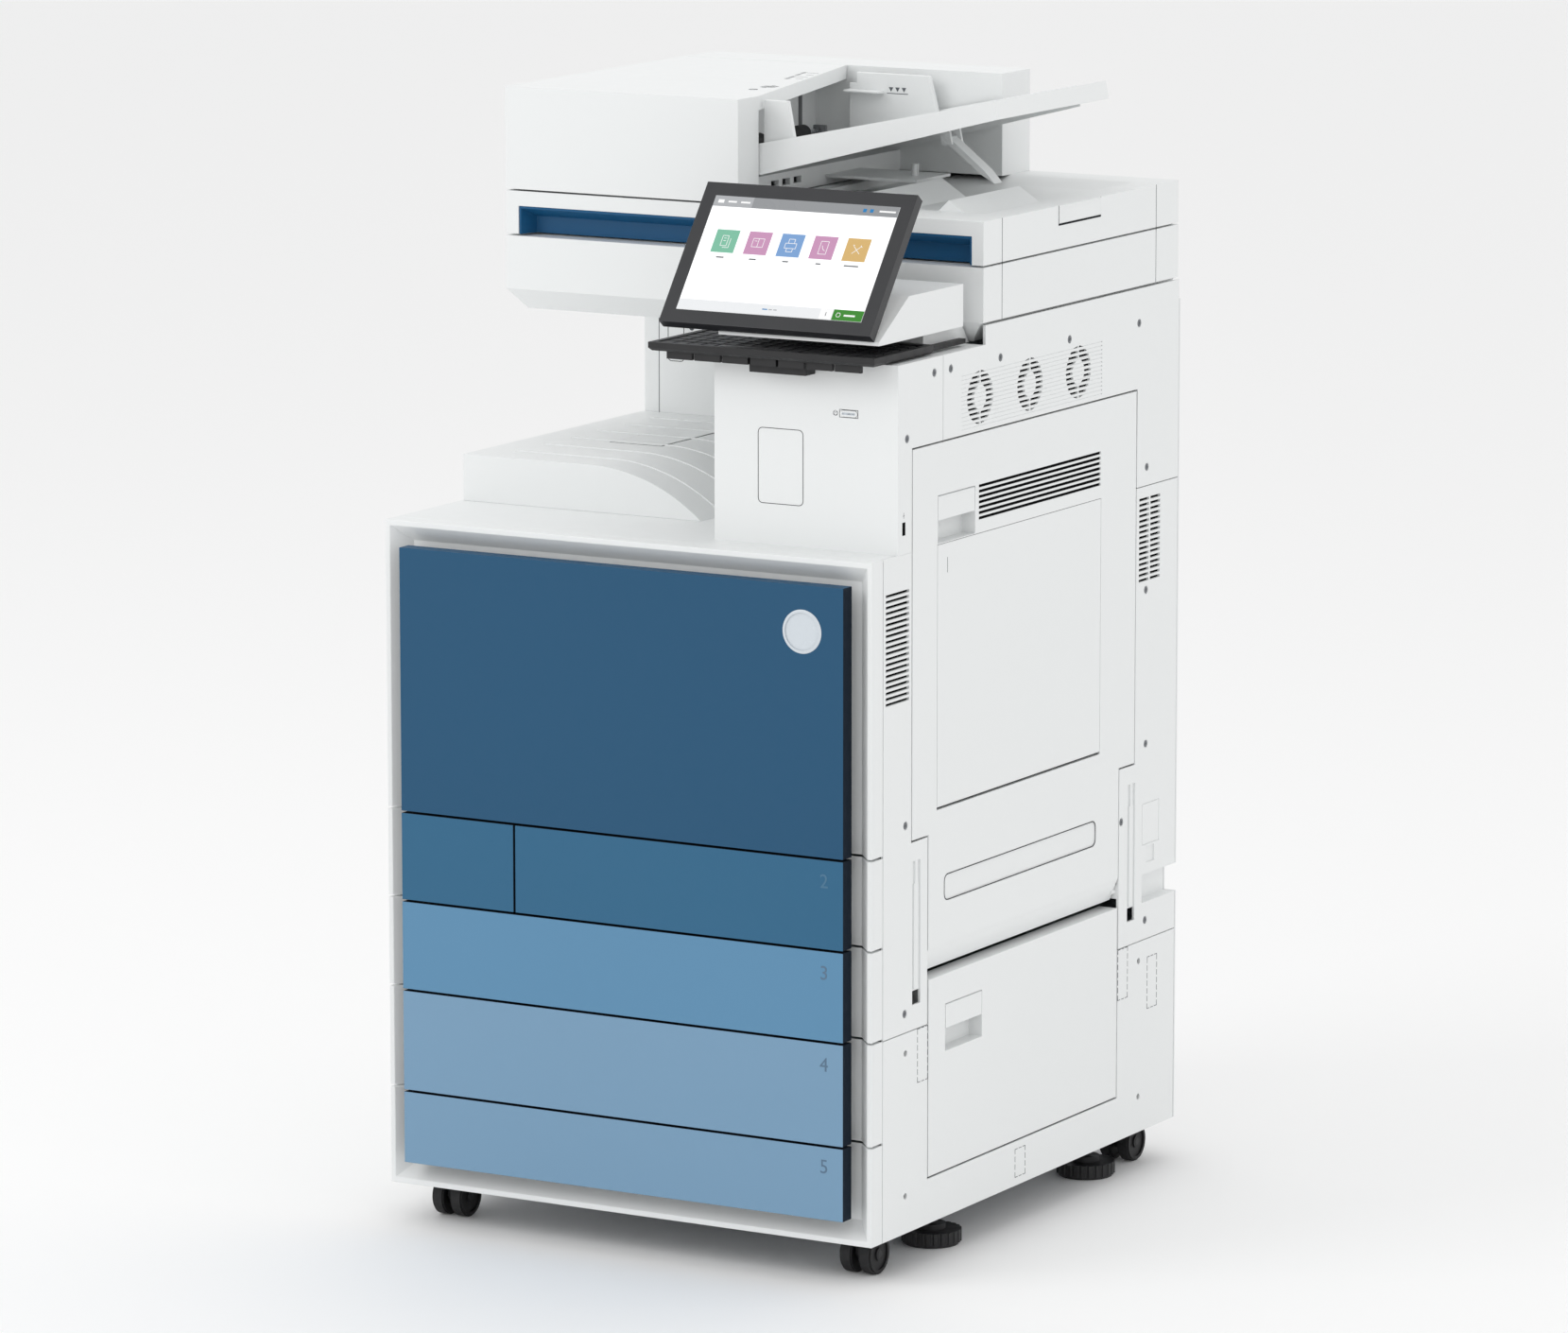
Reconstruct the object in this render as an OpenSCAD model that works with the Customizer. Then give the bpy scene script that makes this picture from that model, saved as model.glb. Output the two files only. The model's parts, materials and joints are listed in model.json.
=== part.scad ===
// Floor-standing A3 multifunction copier.
// X runs left to right, Y from the user's side to the back, Z up from the floor.

/* [Body] */
// Width of the body
body_w = 585; // [500:1:710]
// Depth from the front rim to the back cover
body_d = 680; // [600:1:820]
// Height of the underside above the floor
ground_gap = 44; // [44:1:60]
// Height of the cabinet, from the underside to the seam with the engine
cabinet_h = 213; // [180:1:260]
// Height of the deck above the floor
deck_z = 756; // [700:1:910]
// Height of the paper exit gap between deck and scanner belly
exit_h = 196; // [165:1:240]
// Sheet thickness of the plastic covers
wall = 3; // [2:0.5:5]

/* [Front] */
// How far the blue panels stand in front of the rim
panel_proud = 14; // [8:1:20]
// Gap between neighbouring front pieces
panel_gap = 2.4; // [1.5:0.1:4]
// Width of the rim's flat lip
lip_w = 5; // [3:0.5:8]
// Width of the rim with its chamfer
rim_w = 23; // [16:1:30]
// Depth of the front pieces
rim_d = 22.5; // [18:0.5:30]
// Height of the rim below tray 5
foot_rim_h = 26; // [18:1:40]
// Height of tray 5's panel
tray_5_h = 79; // [65:1:95]
// Height of tray 4's panel
tray_4_h = 109; // [90:1:130]
// Height of tray 3's panel
tray_3_h = 96; // [80:1:115]
// Height of tray 2's panel
tray_2_h = 95; // [79:1:114]
// Width of the waste toner box's front
waste_w = 165; // [138:1:198]
// How far the paper bins reach back
bin_d = 560; // [460:1:580]

/* [Column and exit] */
// Distance from the body's left side to the column
column_x = 369; // [350:1:385]
// Distance from the rim to the column's face
column_y = 53; // [44:1:64]
// Distance from the rim to the exit tray's front face
exit_y = 149; // [124:1:178]
// Height of the exit tray above the deck
exit_tray_h = 50; // [42:1:60]
// Distance from the rim to the rear tower's face
tower_y = 520; // [480:1:540]

/* [Scanner] */
// Distance from the rim to the scanner's front
scan_y = 233; // [200:1:260]
// Depth of the scanner
scan_d = 440; // [400:1:440]
// Height of the scanner base
scan_h = 57; // [50:1:68]
// Height of the lid
lid_h = 46; // [40:1:55]
// Height of the document feeder
feeder_h = 110; // [100:1:120]
// Thickness of the platen glass
glass_t = 3; // [2:0.5:4]

/* [Input tray] */
// Angle of the input tray
tray_angle = 11.8; // [9:0.1:14]
// Length of the input tray
tray_len = 350; // [300:1:360]
// Distance between the paper guides
guide_span = 298; // [250:1:305]

/* [Display] */
// Width of the display
display_w = 248; // [207:1:260]
// Height of the display
display_h = 167; // [140:1:190]
// Thickness of the display
display_t = 12; // [10:1:14]
// Lean of the display from upright
display_lean = 37; // [30:1:40]
// Width of the screen
screen_w = 217; // [181:1:228]
// Height of the screen
screen_h = 135.6; // [113:0.1:145]

/* [Keyboard] */
// Width of the keyboard
keyboard_w = 266; // [240:1:270]
// Depth of the keyboard
keyboard_d = 124; // [104:1:130]
// Thickness of the keyboard
keyboard_t = 9; // [7:1:11]

/* [Running gear] */
// Diameter of the caster wheels
wheel_d = 43; // [36:1:43]
// Radius of the caster axles
axle_r = 4; // [3:0.5:5]
// Radial running clearance of the axles
axle_fit = 0.06; // [0.02:0.01:0.1]
// Diameter of the levelling glides
glide_d = 64; // [53:1:70]
// Thickness of the levelling glides
glide_t = 16; // [12:1:20]

/* [Hidden] */
$fn = 64;

tiny = 0.01;              // overshoot of a cut past a face
gap = 2;                  // gap between bodies that move apart
seam = 1;                 // shadow gap between fixed covers
sheet_seam = 0.1;         // hairline between riveted sheet plates
rim_y = (panel_proud - body_d) / 2;   // the rim's place, with the whole object centred
back_y = body_d;

// Levels
seam_z = ground_gap + cabinet_h;
belly_z = deck_z + exit_h;
belly_h = 22;
scan_z = belly_z + belly_h;
platen_z = scan_z + scan_h;
lid_z = platen_z + gap;
lid_top = lid_z + lid_h;
feeder_top = lid_top + 1 + feeder_h;
side_top = belly_z + 19;
base_z = ground_gap + 6;
base_t = 4;

// Front rows, each from its lower to its upper gap line
row_5 = [ground_gap + foot_rim_h, ground_gap + foot_rim_h + tray_5_h];
row_4 = [row_5[1], row_5[1] + tray_4_h];
row_3 = [row_4[1], row_4[1] + tray_3_h];
row_2 = [row_3[1], row_3[1] + tray_2_h];
door_row = [row_2[1], deck_z];
door_top_rim = 26;
panel_inset = 26;
panel_back = 4;

// Chassis
plate_t = 3;
chassis_l = 8;
chassis_r = body_w - 60;
chassis_y = 26;
rail_w = 5;
bin_fit = 1;
bin_left = chassis_l + plate_t + rail_w + bin_fit;
bin_right = chassis_r - rail_w - bin_fit;
divider_x = waste_w - 7;

// Right side openings
skin_x = body_w - wall;
door_y = [84, 578];
door_low_y = [119, 542];
door_z = [311, 861];
door_step_z = 456;
door_t = 22;
lower_door_z = [94, 303];
lower_y = [120, 541];
column_side_y = 148;
upper_step_y = 238;

// Handle recesses
grip_w = 80;
grip_h = 50;
grip_flap_h = 25;
flap_t = 3;
grip_depth = 16;
grip_y = 137;
grip_z = 757;
lower_grip_y = 156;
lower_grip_z = 221;
bypass_y = [137, 497];
bypass_z = [481, 755.5];
bypass_t = 8;

// Document feeder
feeder_x = 6;
wall_end_x = body_w / 2;
block_end_x = wall_end_x + 110.5;
wall_y = [scan_y, scan_y + 43];
block_y = [scan_y + 377, scan_y + scan_d];
mouth_x = wall_end_x - 81.5;
pivot = [mouth_x + 17, feeder_top - 12];
pivot_r = 3;
feeder_base_h = 22;
tray_y = [wall_y[1] + 2, block_y[0] - 4];
tray_origin = [mouth_x + 21, lid_top + 38];
tray_skirt = 10;

// Display
display_x = 322.5;
display_y = 19.5;
display_z = belly_z + 32;
hinge_s = 40;
hinge_off = display_t + 8;
hinge_r = 3;
hinge_x = [100, 200];
hinge_world = [display_y + hinge_off * cos(display_lean) + hinge_s * sin(display_lean),
    display_z - hinge_off * sin(display_lean) + hinge_s * cos(display_lean)];
support_x = [387, 575];
support_y = [31, 208];
support_z = [belly_z + 21, belly_z + 65];

// Keyboard
keyboard_x = 312;
keyboard_y = 16;
keyboard_z = belly_z + 1;

// Running gear
caster_x = [43, body_w - 43];
caster_y = [62, body_d - 41];
caster_web = 8;
wheel_w = 14;
caster_trail = 12;
glide_x = body_w - 44;
glide_y = [207, 555];
stud_r = 6;

// ---------- shared shapes ----------

module placed() {
    translate([-body_w / 2, rim_y, 0]) children();
}

// Box between two corners
module block(a, b) {
    translate(a) cube(b - a);
}

// Prism along Y with its outline given in X and Z
module along_y(y0, y1) {
    translate([0, y1, 0]) rotate([90, 0, 0]) linear_extrude(y1 - y0) children();
}

// Prism along X with its outline given in Y and Z
module along_x(x0, x1) {
    translate([x0, 0, 0]) rotate([90, 0, 90]) linear_extrude(x1 - x0) children();
}

// Rod along Y
module rod_y(x, z, y0, y1, r) {
    translate([x, y1, z]) rotate([90, 0, 0]) cylinder(h = y1 - y0, r = r);
}

// Rod along X
module rod_x(y, z, x0, x1, r) {
    translate([x0, y, z]) rotate([0, 90, 0]) cylinder(h = x1 - x0, r = r);
}

module rounded_rect(size, r) {
    union() {
        translate([r, 0]) square([size[0] - 2 * r, size[1]]);
        translate([0, r]) square([size[0], size[1] - 2 * r]);
        for (x = [r, size[0] - r], y = [r, size[1] - r]) translate([x, y]) circle(r);
    }
}

// The recess inside the white rim, with mitred chamfers; a rim is left where top or foot is true
module rim_pocket(z0, z1, top = false, foot = false) {
    inner = rim_d - 2.5;
    zt = top ? z1 - lip_w : z1 + 1;
    zt_in = top ? z1 - rim_w : z1 + 1;
    zf = foot ? z0 + lip_w : z0 - 1;
    zf_in = foot ? z0 + rim_w : z0 - 1;
    intersection() {
        translate([0, 0, z0 - 2]) linear_extrude(z1 - z0 + 4)
            polygon([[lip_w - lip_w / inner, -1], [body_w - lip_w + lip_w / inner, -1],
                [body_w - rim_w, inner], [rim_w, inner]]);
        along_x(-1, body_w + 1)
            polygon([[-1, zf], [-1, zt], [inner, zt_in], [inner, zf_in]]);
    }
}

// White front of a row between two gap lines
module row_front(z0, z1, x0 = 0, x1 = body_w, top = false, foot = false) {
    difference() {
        block([x0, 0, z0], [x1, rim_d, z1]);
        rim_pocket(z0, z1, top, foot);
    }
}

// Carrier block that holds a blue panel in front of its recess
module panel_carrier(x0, x1, z0, z1) {
    inset = 14;
    block([x0 + inset, panel_back, z0 + inset], [x1 - inset, rim_d - 2.5, z1 - inset]);
}

// Blue panel between two gap lines
module blue_panel(x0, x1, z0, z1) {
    block([x0, -panel_proud, z0], [x1, panel_back, z1]);
}

// Open paper bin
module bin(x0, x1, z0, z1) {
    difference() {
        block([x0, rim_d, z0], [x1, bin_d, z1]);
        block([x0 + wall, rim_d + wall, z0 + wall], [x1 - wall, bin_d - wall, z1 + 1]);
    }
}

// Lowest and highest edge of a row's bin
function bin_low(row) = row[0] < row_4[0] ? base_z + base_t + 8 : row[0] + panel_gap / 2 + 8;
function bin_high(row) = row[1] - 12;

module drawer(row, x0, x1, bin_x0, foot = false) {
    z0 = foot ? ground_gap : row[0] + panel_gap / 2;
    z1 = row[1] - panel_gap / 2;
    row_front(z0, z1, x0, x1, false, foot);
    panel_carrier(max(x0, panel_inset), min(x1, body_w - panel_inset), row[0], row[1]);
    bin(bin_x0, bin_right, bin_low(row), bin_high(row));
}

module drawer_panel(row, x0, x1) {
    blue_panel(x0, x1, row[0] + panel_gap / 2, row[1] - panel_gap / 2);
}

// Finger recess of a side door: the cut
module grip_cut(y, z) {
    block([body_w - grip_depth, y, z], [body_w + 1, y + grip_w, z + grip_h]);
}

// Latch flap that hangs at the top of a finger recess
module grip_flap(y, z) {
    side = 1;
    top = z + grip_h - 1;
    block([body_w - flap_t, y + side, top - grip_flap_h], [body_w, y + grip_w - side, top - flap_t]);
    rod_y(body_w - flap_t / 2 - 0.5, top - flap_t / 2 - 0.5, y + side, y + grip_w - side, flap_t / 2 + 0.5);
}

// Row of level slots through a side cover
module side_slots(y0, y1, z0, z1, count, h) {
    pitch = (z1 - z0 - h) / (count - 1);
    for (i = [0:count - 1])
        block([body_w - wall - 1, y0, z0 + i * pitch], [body_w + 1, y1, z0 + i * pitch + h]);
}

// ---------- structure ----------

module base_plate() placed() color("dimgray") {
    difference() {
        block([wall + seam, rim_d + 2, base_z], [body_w - wall - seam, back_y - wall - seam, base_z + base_t]);
        for (y = glide_y) translate([glide_x, y, base_z - 1]) cylinder(h = base_t + 2, r = stud_r + 0.5);
    }
}

function chassis_back() = back_y - 20;

module side_plate(x) {
    block([x, chassis_y, base_z + base_t],
        [x + plate_t, chassis_back() - plate_t - sheet_seam, deck_z - 9 - sheet_seam]);
}

module chassis_frame() placed() color("silver") {
    shelf_z = row_2[1] - 2;
    side_plate(chassis_l);
    difference() {
        side_plate(chassis_r);
        block([chassis_r - 1, 146, row_2[1] + 40], [chassis_r + plate_t + 1, chassis_back() - 120, deck_z - 80]);
    }
    inner_l = chassis_l + plate_t + sheet_seam;
    inner_r = chassis_r - sheet_seam;
    inner_back = chassis_back() - plate_t - sheet_seam;
    roof_z = deck_z - 6 + sheet_seam;
    block([chassis_l, chassis_back() - plate_t, base_z + base_t], [body_w - 18, chassis_back(), belly_z - 8]);
    for (x = [column_x + 12, body_w - 46], y = [scan_y + 40, inner_back - 23])
        block([x, y, roof_z], [x + 20, y + 23, belly_z]);
    block([inner_l, chassis_y, shelf_z], [inner_r, inner_back, shelf_z + plate_t]);
    block([chassis_l, chassis_y, deck_z - 9], [body_w - 26, inner_back, deck_z - 6]);
    block([divider_x, chassis_y, row_3[1] + sheet_seam], [divider_x + plate_t, bin_d + 20, shelf_z - sheet_seam]);
    block([column_x + 7, column_y + 7, roof_z], [body_w - 12, column_y + 10, belly_z - 8]);
    block([column_x + 7, exit_y + 32, roof_z], [column_x + 10, inner_back, deck_z + 40]);
    block([inner_l, chassis_y, row_3[1] - 4], [inner_r, chassis_y + 20, row_3[1]]);
}

// Angle rail with a ledge under the bin; side is 1 on the left and -1 on the right
module rail(x, side, z, reach) {
    ledge = 2;
    height = 22;
    left = side > 0 ? x : x - rail_w;
    ledge_left = side > 0 ? x : x - reach;
    block([left, chassis_y + 20, z - 0.5], [left + rail_w, bin_d - 10, z + height]);
    block([ledge_left, chassis_y + 20, z - 0.5 - ledge], [ledge_left + reach, bin_d - 10, z - 0.5]);
}

module drawer_rails() placed() color("gray") {
    reach = 18;
    for (row = [row_5, row_4, row_3, row_2]) {
        rail(chassis_l + plate_t, 1, bin_low(row), reach);
        rail(chassis_r, -1, bin_low(row), reach);
    }
    rail(divider_x, -1, bin_low(row_2), reach);
    rail(divider_x + plate_t, 1, bin_low(row_2), reach);
}

// ---------- covers ----------

module left_cover() placed() color("whitesmoke") {
    slots = 14;
    pitch = 9;
    difference() {
        block([0, rim_d + seam, ground_gap], [wall, back_y - wall - seam, deck_z - 7]);
        for (i = [0:slots - 1])
            block([-1, back_y - 190, row_2[1] + 60 + i * pitch], [wall + 1, back_y - 70, row_2[1] + 64 + i * pitch]);
        for (i = [0:slots - 1])
            block([-1, back_y - 190, ground_gap + 60 + i * pitch], [wall + 1, back_y - 70, ground_gap + 64 + i * pitch]);
    }
}

inlet_x = 60;
inlet_z = 100;
inlet_w = 50;
inlet_h = 32;

module rear_cover() placed() color("whitesmoke") {
    slots = 18;
    pitch = 10;
    difference() {
        block([0, back_y - wall, ground_gap], [body_w, back_y, belly_z - 2]);
        block([inlet_x, back_y - wall - 1, inlet_z], [inlet_x + inlet_w, back_y + 1, inlet_z + inlet_h]);
        for (x = [70, body_w - 210], i = [0:slots - 1])
            block([x, back_y - wall - 1, row_3[1] + 40 + i * pitch], [x + 140, back_y + 1, row_3[1] + 44 + i * pitch]);
        side_notch_cut();
    }
}

// Finger notch cut into the rear edge of the right side
notch_z = [298, 329];
module side_notch_cut() {
    block([body_w - 14, 598, notch_z[0]], [body_w + 1, back_y + 1, notch_z[1]]);
}

module lower_door_cut() {
    block([body_w - wall - 1, lower_y[0] - gap, lower_door_z[0] - gap],
        [body_w + 1, lower_y[1] + gap, lower_door_z[1] + gap]);
}

module right_door_cut() {
    block([body_w - 40, door_y[0] - gap, door_step_z - gap], [body_w + 1, door_y[1] + gap, door_z[1] + gap]);
    block([body_w - 40, door_low_y[0] - gap, lower_door_z[1]], [body_w + 1, door_low_y[1] + gap, door_step_z]);
}

// Hinge of the right door: pins on the door turn in brackets behind the side covers
door_pin_r = 2.5;

module door_pin(y0, y1, r) {
    rod_y(body_w - 6.5, door_z[0] + 9, y0, y1, r);
}

module door_bracket(y) {
    block([body_w - 14, y, door_z[0] + 1], [skin_x + tiny, y + 3, door_z[0] + 17]);
}

module cabinet_side_cover() placed() color("whitesmoke") {
    difference() {
        block([skin_x, rim_d + seam, ground_gap], [body_w, back_y - wall - seam, seam_z - seam]);
        lower_door_cut();
        for (p = [[71, 235], [71, 84], [592, 235], [593, 84]])
            rod_x(p[0], p[1], skin_x - 1, body_w + 1, 3.4);
    }
}

// Tall rounded slot with the door's hinge bar inside it
module hinge_slot(y) {
    z = [283, 434];
    difference() {
        block([skin_x - 1, y, z[0]], [body_w + 1, y + 17, z[1]]);
        block([skin_x - 2, y + 4, z[0] + 16], [body_w + 2, y + 13, z[1] - 24]);
        block([skin_x - 2, y + 6, z[1] - 24 - tiny], [body_w + 2, y + 11, z[1] + 1]);
    }
}

// Counterbored screw holes: Y and Z of each screw on the right side
screws_front = [[70, 474], [69, 277]];
screws_rear = [[603, 642], [605, 473], [549, 396], [606, 278]];
screws_upper = [[164, deck_z + 179], [271, deck_z + 178], [424, deck_z + 179], [583, deck_z + 178], [603, deck_z + 20]];
screws_column = [[129, deck_z + 179], [72, deck_z + 118]];
screw_r = 2;
head_r = 3.6;
head_t = 1.2;

module screw_cuts(places) {
    for (p = places) {
        rod_x(p[0], p[1], skin_x - 1, body_w + 1, screw_r + 0.1);
        rod_x(p[0], p[1], body_w - head_t - 0.2, body_w + 1, head_r + 0.9);
    }
}

module right_front_cover() placed() color("whitesmoke") {
    difference() {
        union() {
            block([skin_x, rim_d + seam, seam_z], [body_w, door_low_y[0] - gap, deck_z]);
            door_bracket(door_low_y[0] - gap - 3);
        }
        door_pin(door_low_y[0] - 6, door_low_y[0], door_pin_r + axle_fit);
        right_door_cut();
        lower_door_cut();
        side_slots(28, 77, 604, 719, 20, 3);
        hinge_slot(85);
        screw_cuts(screws_front);
    }
}

module right_rear_cover() placed() color("whitesmoke") {
    difference() {
        union() {
            block([skin_x, door_low_y[1] + gap, seam_z], [body_w, back_y - wall - seam, deck_z - seam]);
            block([body_w - 17, 592, notch_z[0] - 3], [skin_x + tiny, back_y - wall - seam, notch_z[1] + 3]);
            door_bracket(door_low_y[1] + gap);
        }
        door_pin(door_low_y[1], door_low_y[1] + 6, door_pin_r + axle_fit);
        right_door_cut();
        lower_door_cut();
        side_slots(586, 609, 652, 743, 16, 3);
        side_slots(612, 635, 652, 743, 16, 3);
        hinge_slot(564);
        side_notch_cut();
        difference() {
            block([body_w - 1, 597.5, 361.5], [body_w + 1, 637.5, 407.5]);
            block([body_w - 2, 598.5, 362.5], [body_w + 2, 636.5, 406.5]);
        }
        block([body_w - 2, 608, 341], [body_w + 1, 627, 359]);
        screw_cuts(screws_rear);
    }
}

// Slits of one fan vent: a comb kept inside a ring
module fan_vent(y) {
    z = 898;
    r_out = 28;
    r_in = 13;
    pitch = 5.4;
    slit = 2.6;
    rows = 5;
    intersection() {
        difference() {
            rod_x(y, z, skin_x - 1, body_w + 1, r_out);
            rod_x(y, z, skin_x - 2, body_w + 2, r_in);
            block([skin_x - 2, y - 1.2, z - r_out - 1], [body_w + 2, y + 1.2, z + r_out + 1]);
        }
        union() for (i = [-rows:rows])
            block([skin_x - 1, y - r_out, z + i * pitch - slit / 2], [body_w + 1, y + r_out, z + i * pitch + slit / 2]);
    }
}

module right_upper_cover() placed() color("whitesmoke") {
    grooves = 14;
    pitch = 4.3;
    shift = deck_z + exit_h - 952;
    difference() {
        union() {
            block([skin_x, column_side_y, deck_z], [body_w, upper_step_y, belly_z - seam]);
            block([skin_x, upper_step_y - tiny, deck_z], [body_w, back_y - wall - seam, side_top]);
        }
        right_door_cut();
        translate([0, 0, shift]) {
            for (y = [227, 336, 444]) fan_vent(y);
            for (i = [0:grooves - 1])
                block([body_w - 0.5, 186, 868 + i * pitch], [body_w + 1, 496, 868.7 + i * pitch]);
            for (i = [0:grooves - 1])
                rod_x(497, 868 + i * pitch, skin_x - 1, body_w + 1, 0.9);
        }
        screw_cuts(screws_upper);
    }
}

button_x = 527.5;
button_z = deck_z + 142;
button_w = 20;
button_h = 6.5;

module button_outline(grow = 0) {
    r = button_h / 2 + grow;
    translate([button_x - button_w / 2 - grow, button_z - r]) rounded_rect([button_w + 2 * grow, 2 * r], r - tiny);
}

module column_cover() placed() color("whitesmoke") {
    top = belly_z - seam;
    exit_z = deck_z + 88;
    difference() {
        union() {
            block([column_x, column_y, deck_z + tiny], [body_w, column_y + wall, top]);
            block([skin_x, column_y, deck_z + tiny], [body_w, column_side_y - seam, top]);
            block([column_x, column_y, top - wall], [skin_x - tiny, upper_step_y - seam, top]);
            block([column_x, column_y, deck_z + tiny], [column_x + wall, tower_y - seam, top]);
        }
        right_door_cut();
        block([column_x - 1, exit_y + 20, exit_z], [column_x + wall + 1, tower_y - 15, exit_z + 34]);
        along_y(column_y - 1, column_y + wall + 1) button_outline(0.4);
        screw_cuts(screws_column);
    }
}

module top_deck() placed() color("whitesmoke") {
    difference() {
        block([0, rim_d + seam, deck_z - 6], [body_w, exit_y + 30, deck_z]);
        right_door_cut();
        block([skin_x - seam, rim_d, deck_z - 7], [body_w + 1, exit_y + 40, deck_z + 1]);
        block([column_x + 6.5, column_y + 6.5, deck_z - 7], [body_w - 11.5, column_y + 10.5, deck_z + 1]);
    }
}

// Profile of the exit tray in X and Z: level on the left, then an arc down to the deck
arc_r = 210;
arc_x = 160;

module exit_profile(drop, left) {
    floor_z = deck_z - 6;
    translate([left, floor_z]) square([arc_x - left + tiny, deck_z + exit_tray_h - drop - floor_z]);
    intersection() {
        translate([arc_x, deck_z + exit_tray_h - arc_r]) circle(r = arc_r - drop);
        translate([arc_x, floor_z]) square([arc_r, exit_tray_h + 20]);
    }
}

module exit_tray() placed() color("whitesmoke") {
    ribs = 6;
    step = (tower_y - exit_y - 90) / (ribs - 1);
    deck_end = exit_y + 30.5;
    back = tower_y - 0.5;
    difference() {
        union() {
            intersection() {
                along_y(exit_y, back) exit_profile(0, wall);
                union() {
                    block([0, exit_y - 1, deck_z], [body_w, back, belly_z]);
                    block([0, deck_end, deck_z - 2], [body_w, back, belly_z]);
                }
            }
            block([0, deck_end, deck_z - 6], [column_x - 0.5, back, deck_z]);
        }
        intersection() {
            along_y(exit_y + wall, back - wall) exit_profile(wall, 2 * wall);
            block([0, exit_y, deck_z - 1], [body_w, back, belly_z]);
        }
    }
    for (i = [0:ribs - 1]) along_y(exit_y + 45 + i * step, exit_y + 47 + i * step) difference() {
        exit_profile(-1.2, 40);
        exit_profile(1, 38);
        translate([0, deck_z - 10]) square([body_w, 11]);
    }
}

module rear_tower() placed() color("whitesmoke") {
    left = 5;
    right = column_x - 0.5;
    difference() {
        block([left, tower_y, deck_z - 6], [right, back_y - wall - seam, belly_z]);
        block([left + wall, tower_y + wall, deck_z - 7], [right - wall, back_y, belly_z - wall]);
        block([right - wall - 1, chassis_back() - plate_t - 1, deck_z - 7], [right + 1, back_y, belly_z - 7]);
    }
}

module toner_cartridges() placed() color("darkslategray") {
    pitch = 98;
    r = 34;
    z = row_2[1] + 190;
    for (i = [0:3]) translate([72 + i * pitch, 0, 0]) {
        rod_y(0, z, chassis_y + 14, bin_d, r);
        block([-r, chassis_y + 14, z - r - 14], [r, chassis_y + 34, z - 10]);
        rod_y(0, z - r - 24, chassis_y + 30, bin_d - 20, 15);
        rod_y(0, z, bin_d - tiny, chassis_back() - plate_t, 10);
    }
}

module transfer_belt() placed() color("black") {
    z = row_2[1] + 86;
    x = [60, 420];
    r = 22;
    difference() {
        union() {
            for (e = x) rod_y(e, z, chassis_y + 30, bin_d - 20, r);
            block([x[0], chassis_y + 30, z - r], [x[1], bin_d - 20, z + r]);
        }
        for (e = x) rod_y(e, z, chassis_y + 29, bin_d - 19, r - 2);
        block([x[0], chassis_y + 29, z - r + 2], [x[1], bin_d - 19, z + r - 2]);
    }
    for (e = x) {
        rod_y(e, z, chassis_y + 26, bin_d - 16, r - 2);
        rod_y(e, z, bin_d - 16 - tiny, chassis_back() - plate_t, 6);
    }
}

fuser_x = 500;
fuser_z = deck_z + 62;
fuser_y = [110, 470];
fuser_r = 18;

module fuser_housing() placed() color("dimgray") {
    difference() {
        block([420, fuser_y[0], deck_z + 25], [535, fuser_y[1], deck_z + 100]);
        block([470, fuser_y[0] + 12, deck_z + 30], [540, fuser_y[1] - 12, deck_z + 92]);
        rod_y(fuser_x, fuser_z, fuser_y[0] + 4, fuser_y[1] - 4, axle_r + 1 + axle_fit);
    }
    for (y = [fuser_y[0] + 80, fuser_y[1] - 40])
        block([430, y, deck_z - 6], [515, y + 16, deck_z + 25 + tiny]);
}

module fuser_roller() placed() color("orange") {
    rod_y(fuser_x, fuser_z, fuser_y[0] + 13, fuser_y[1] - 13, fuser_r);
    rod_y(fuser_x, fuser_z, fuser_y[0] + 5, fuser_y[1] - 5, axle_r + 1);
}

module power_inlet() placed() color("black") {
    depth = 15;
    y = back_y - wall;
    difference() {
        block([inlet_x + 0.5, y - depth + wall, inlet_z + 0.5],
            [inlet_x + inlet_w - 0.5, back_y - 0.5, inlet_z + inlet_h - 0.5]);
        block([inlet_x + 12, y - depth + 6, inlet_z + 6], [inlet_x + 38, back_y + 1, inlet_z + 26]);
    }
    for (i = [-1:1]) block([inlet_x + 24 + i * 7, y - depth + 5, inlet_z + 13],
        [inlet_x + 26 + i * 7, y - 4, inlet_z + 19]);
}

module cover_screws() placed() color("silver") {
    for (p = concat(screws_front, screws_rear, screws_upper, screws_column)) difference() {
        union() {
            rod_x(p[0], p[1], body_w - head_t - 0.2, body_w - 0.2, head_r);
            rod_x(p[0], p[1], skin_x - 4, body_w - head_t, screw_r);
        }
        block([body_w - 0.8, p[0] - 0.4, p[1] - 2], [body_w, p[0] + 0.4, p[1] + 2]);
        block([body_w - 0.8, p[0] - 2, p[1] - 0.4], [body_w, p[0] + 2, p[1] + 0.4]);
    }
}

// ---------- front ----------

module door_frame() placed() color("whitesmoke") {
    z0 = door_row[0] + panel_gap / 2;
    row_front(z0, door_row[1], 0, body_w, true, false);
    panel_carrier(panel_inset, body_w - panel_inset, door_row[0], door_row[1] - door_top_rim);
}

module door_panel() placed() color([0.2, 0.37, 0.51]) {
    blue_panel(panel_inset, body_w - panel_inset, door_row[0] + panel_gap / 2, door_row[1] - door_top_rim);
}

module tray_2_bin() placed() color("whitesmoke") {
    x0 = waste_w + panel_gap / 2;
    drawer(row_2, x0, body_w, divider_x + plate_t + rail_w + bin_fit);
}

module tray_2_panel() placed() color([0.25, 0.44, 0.58])
    drawer_panel(row_2, waste_w + panel_gap / 2, body_w - panel_inset);

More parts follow.
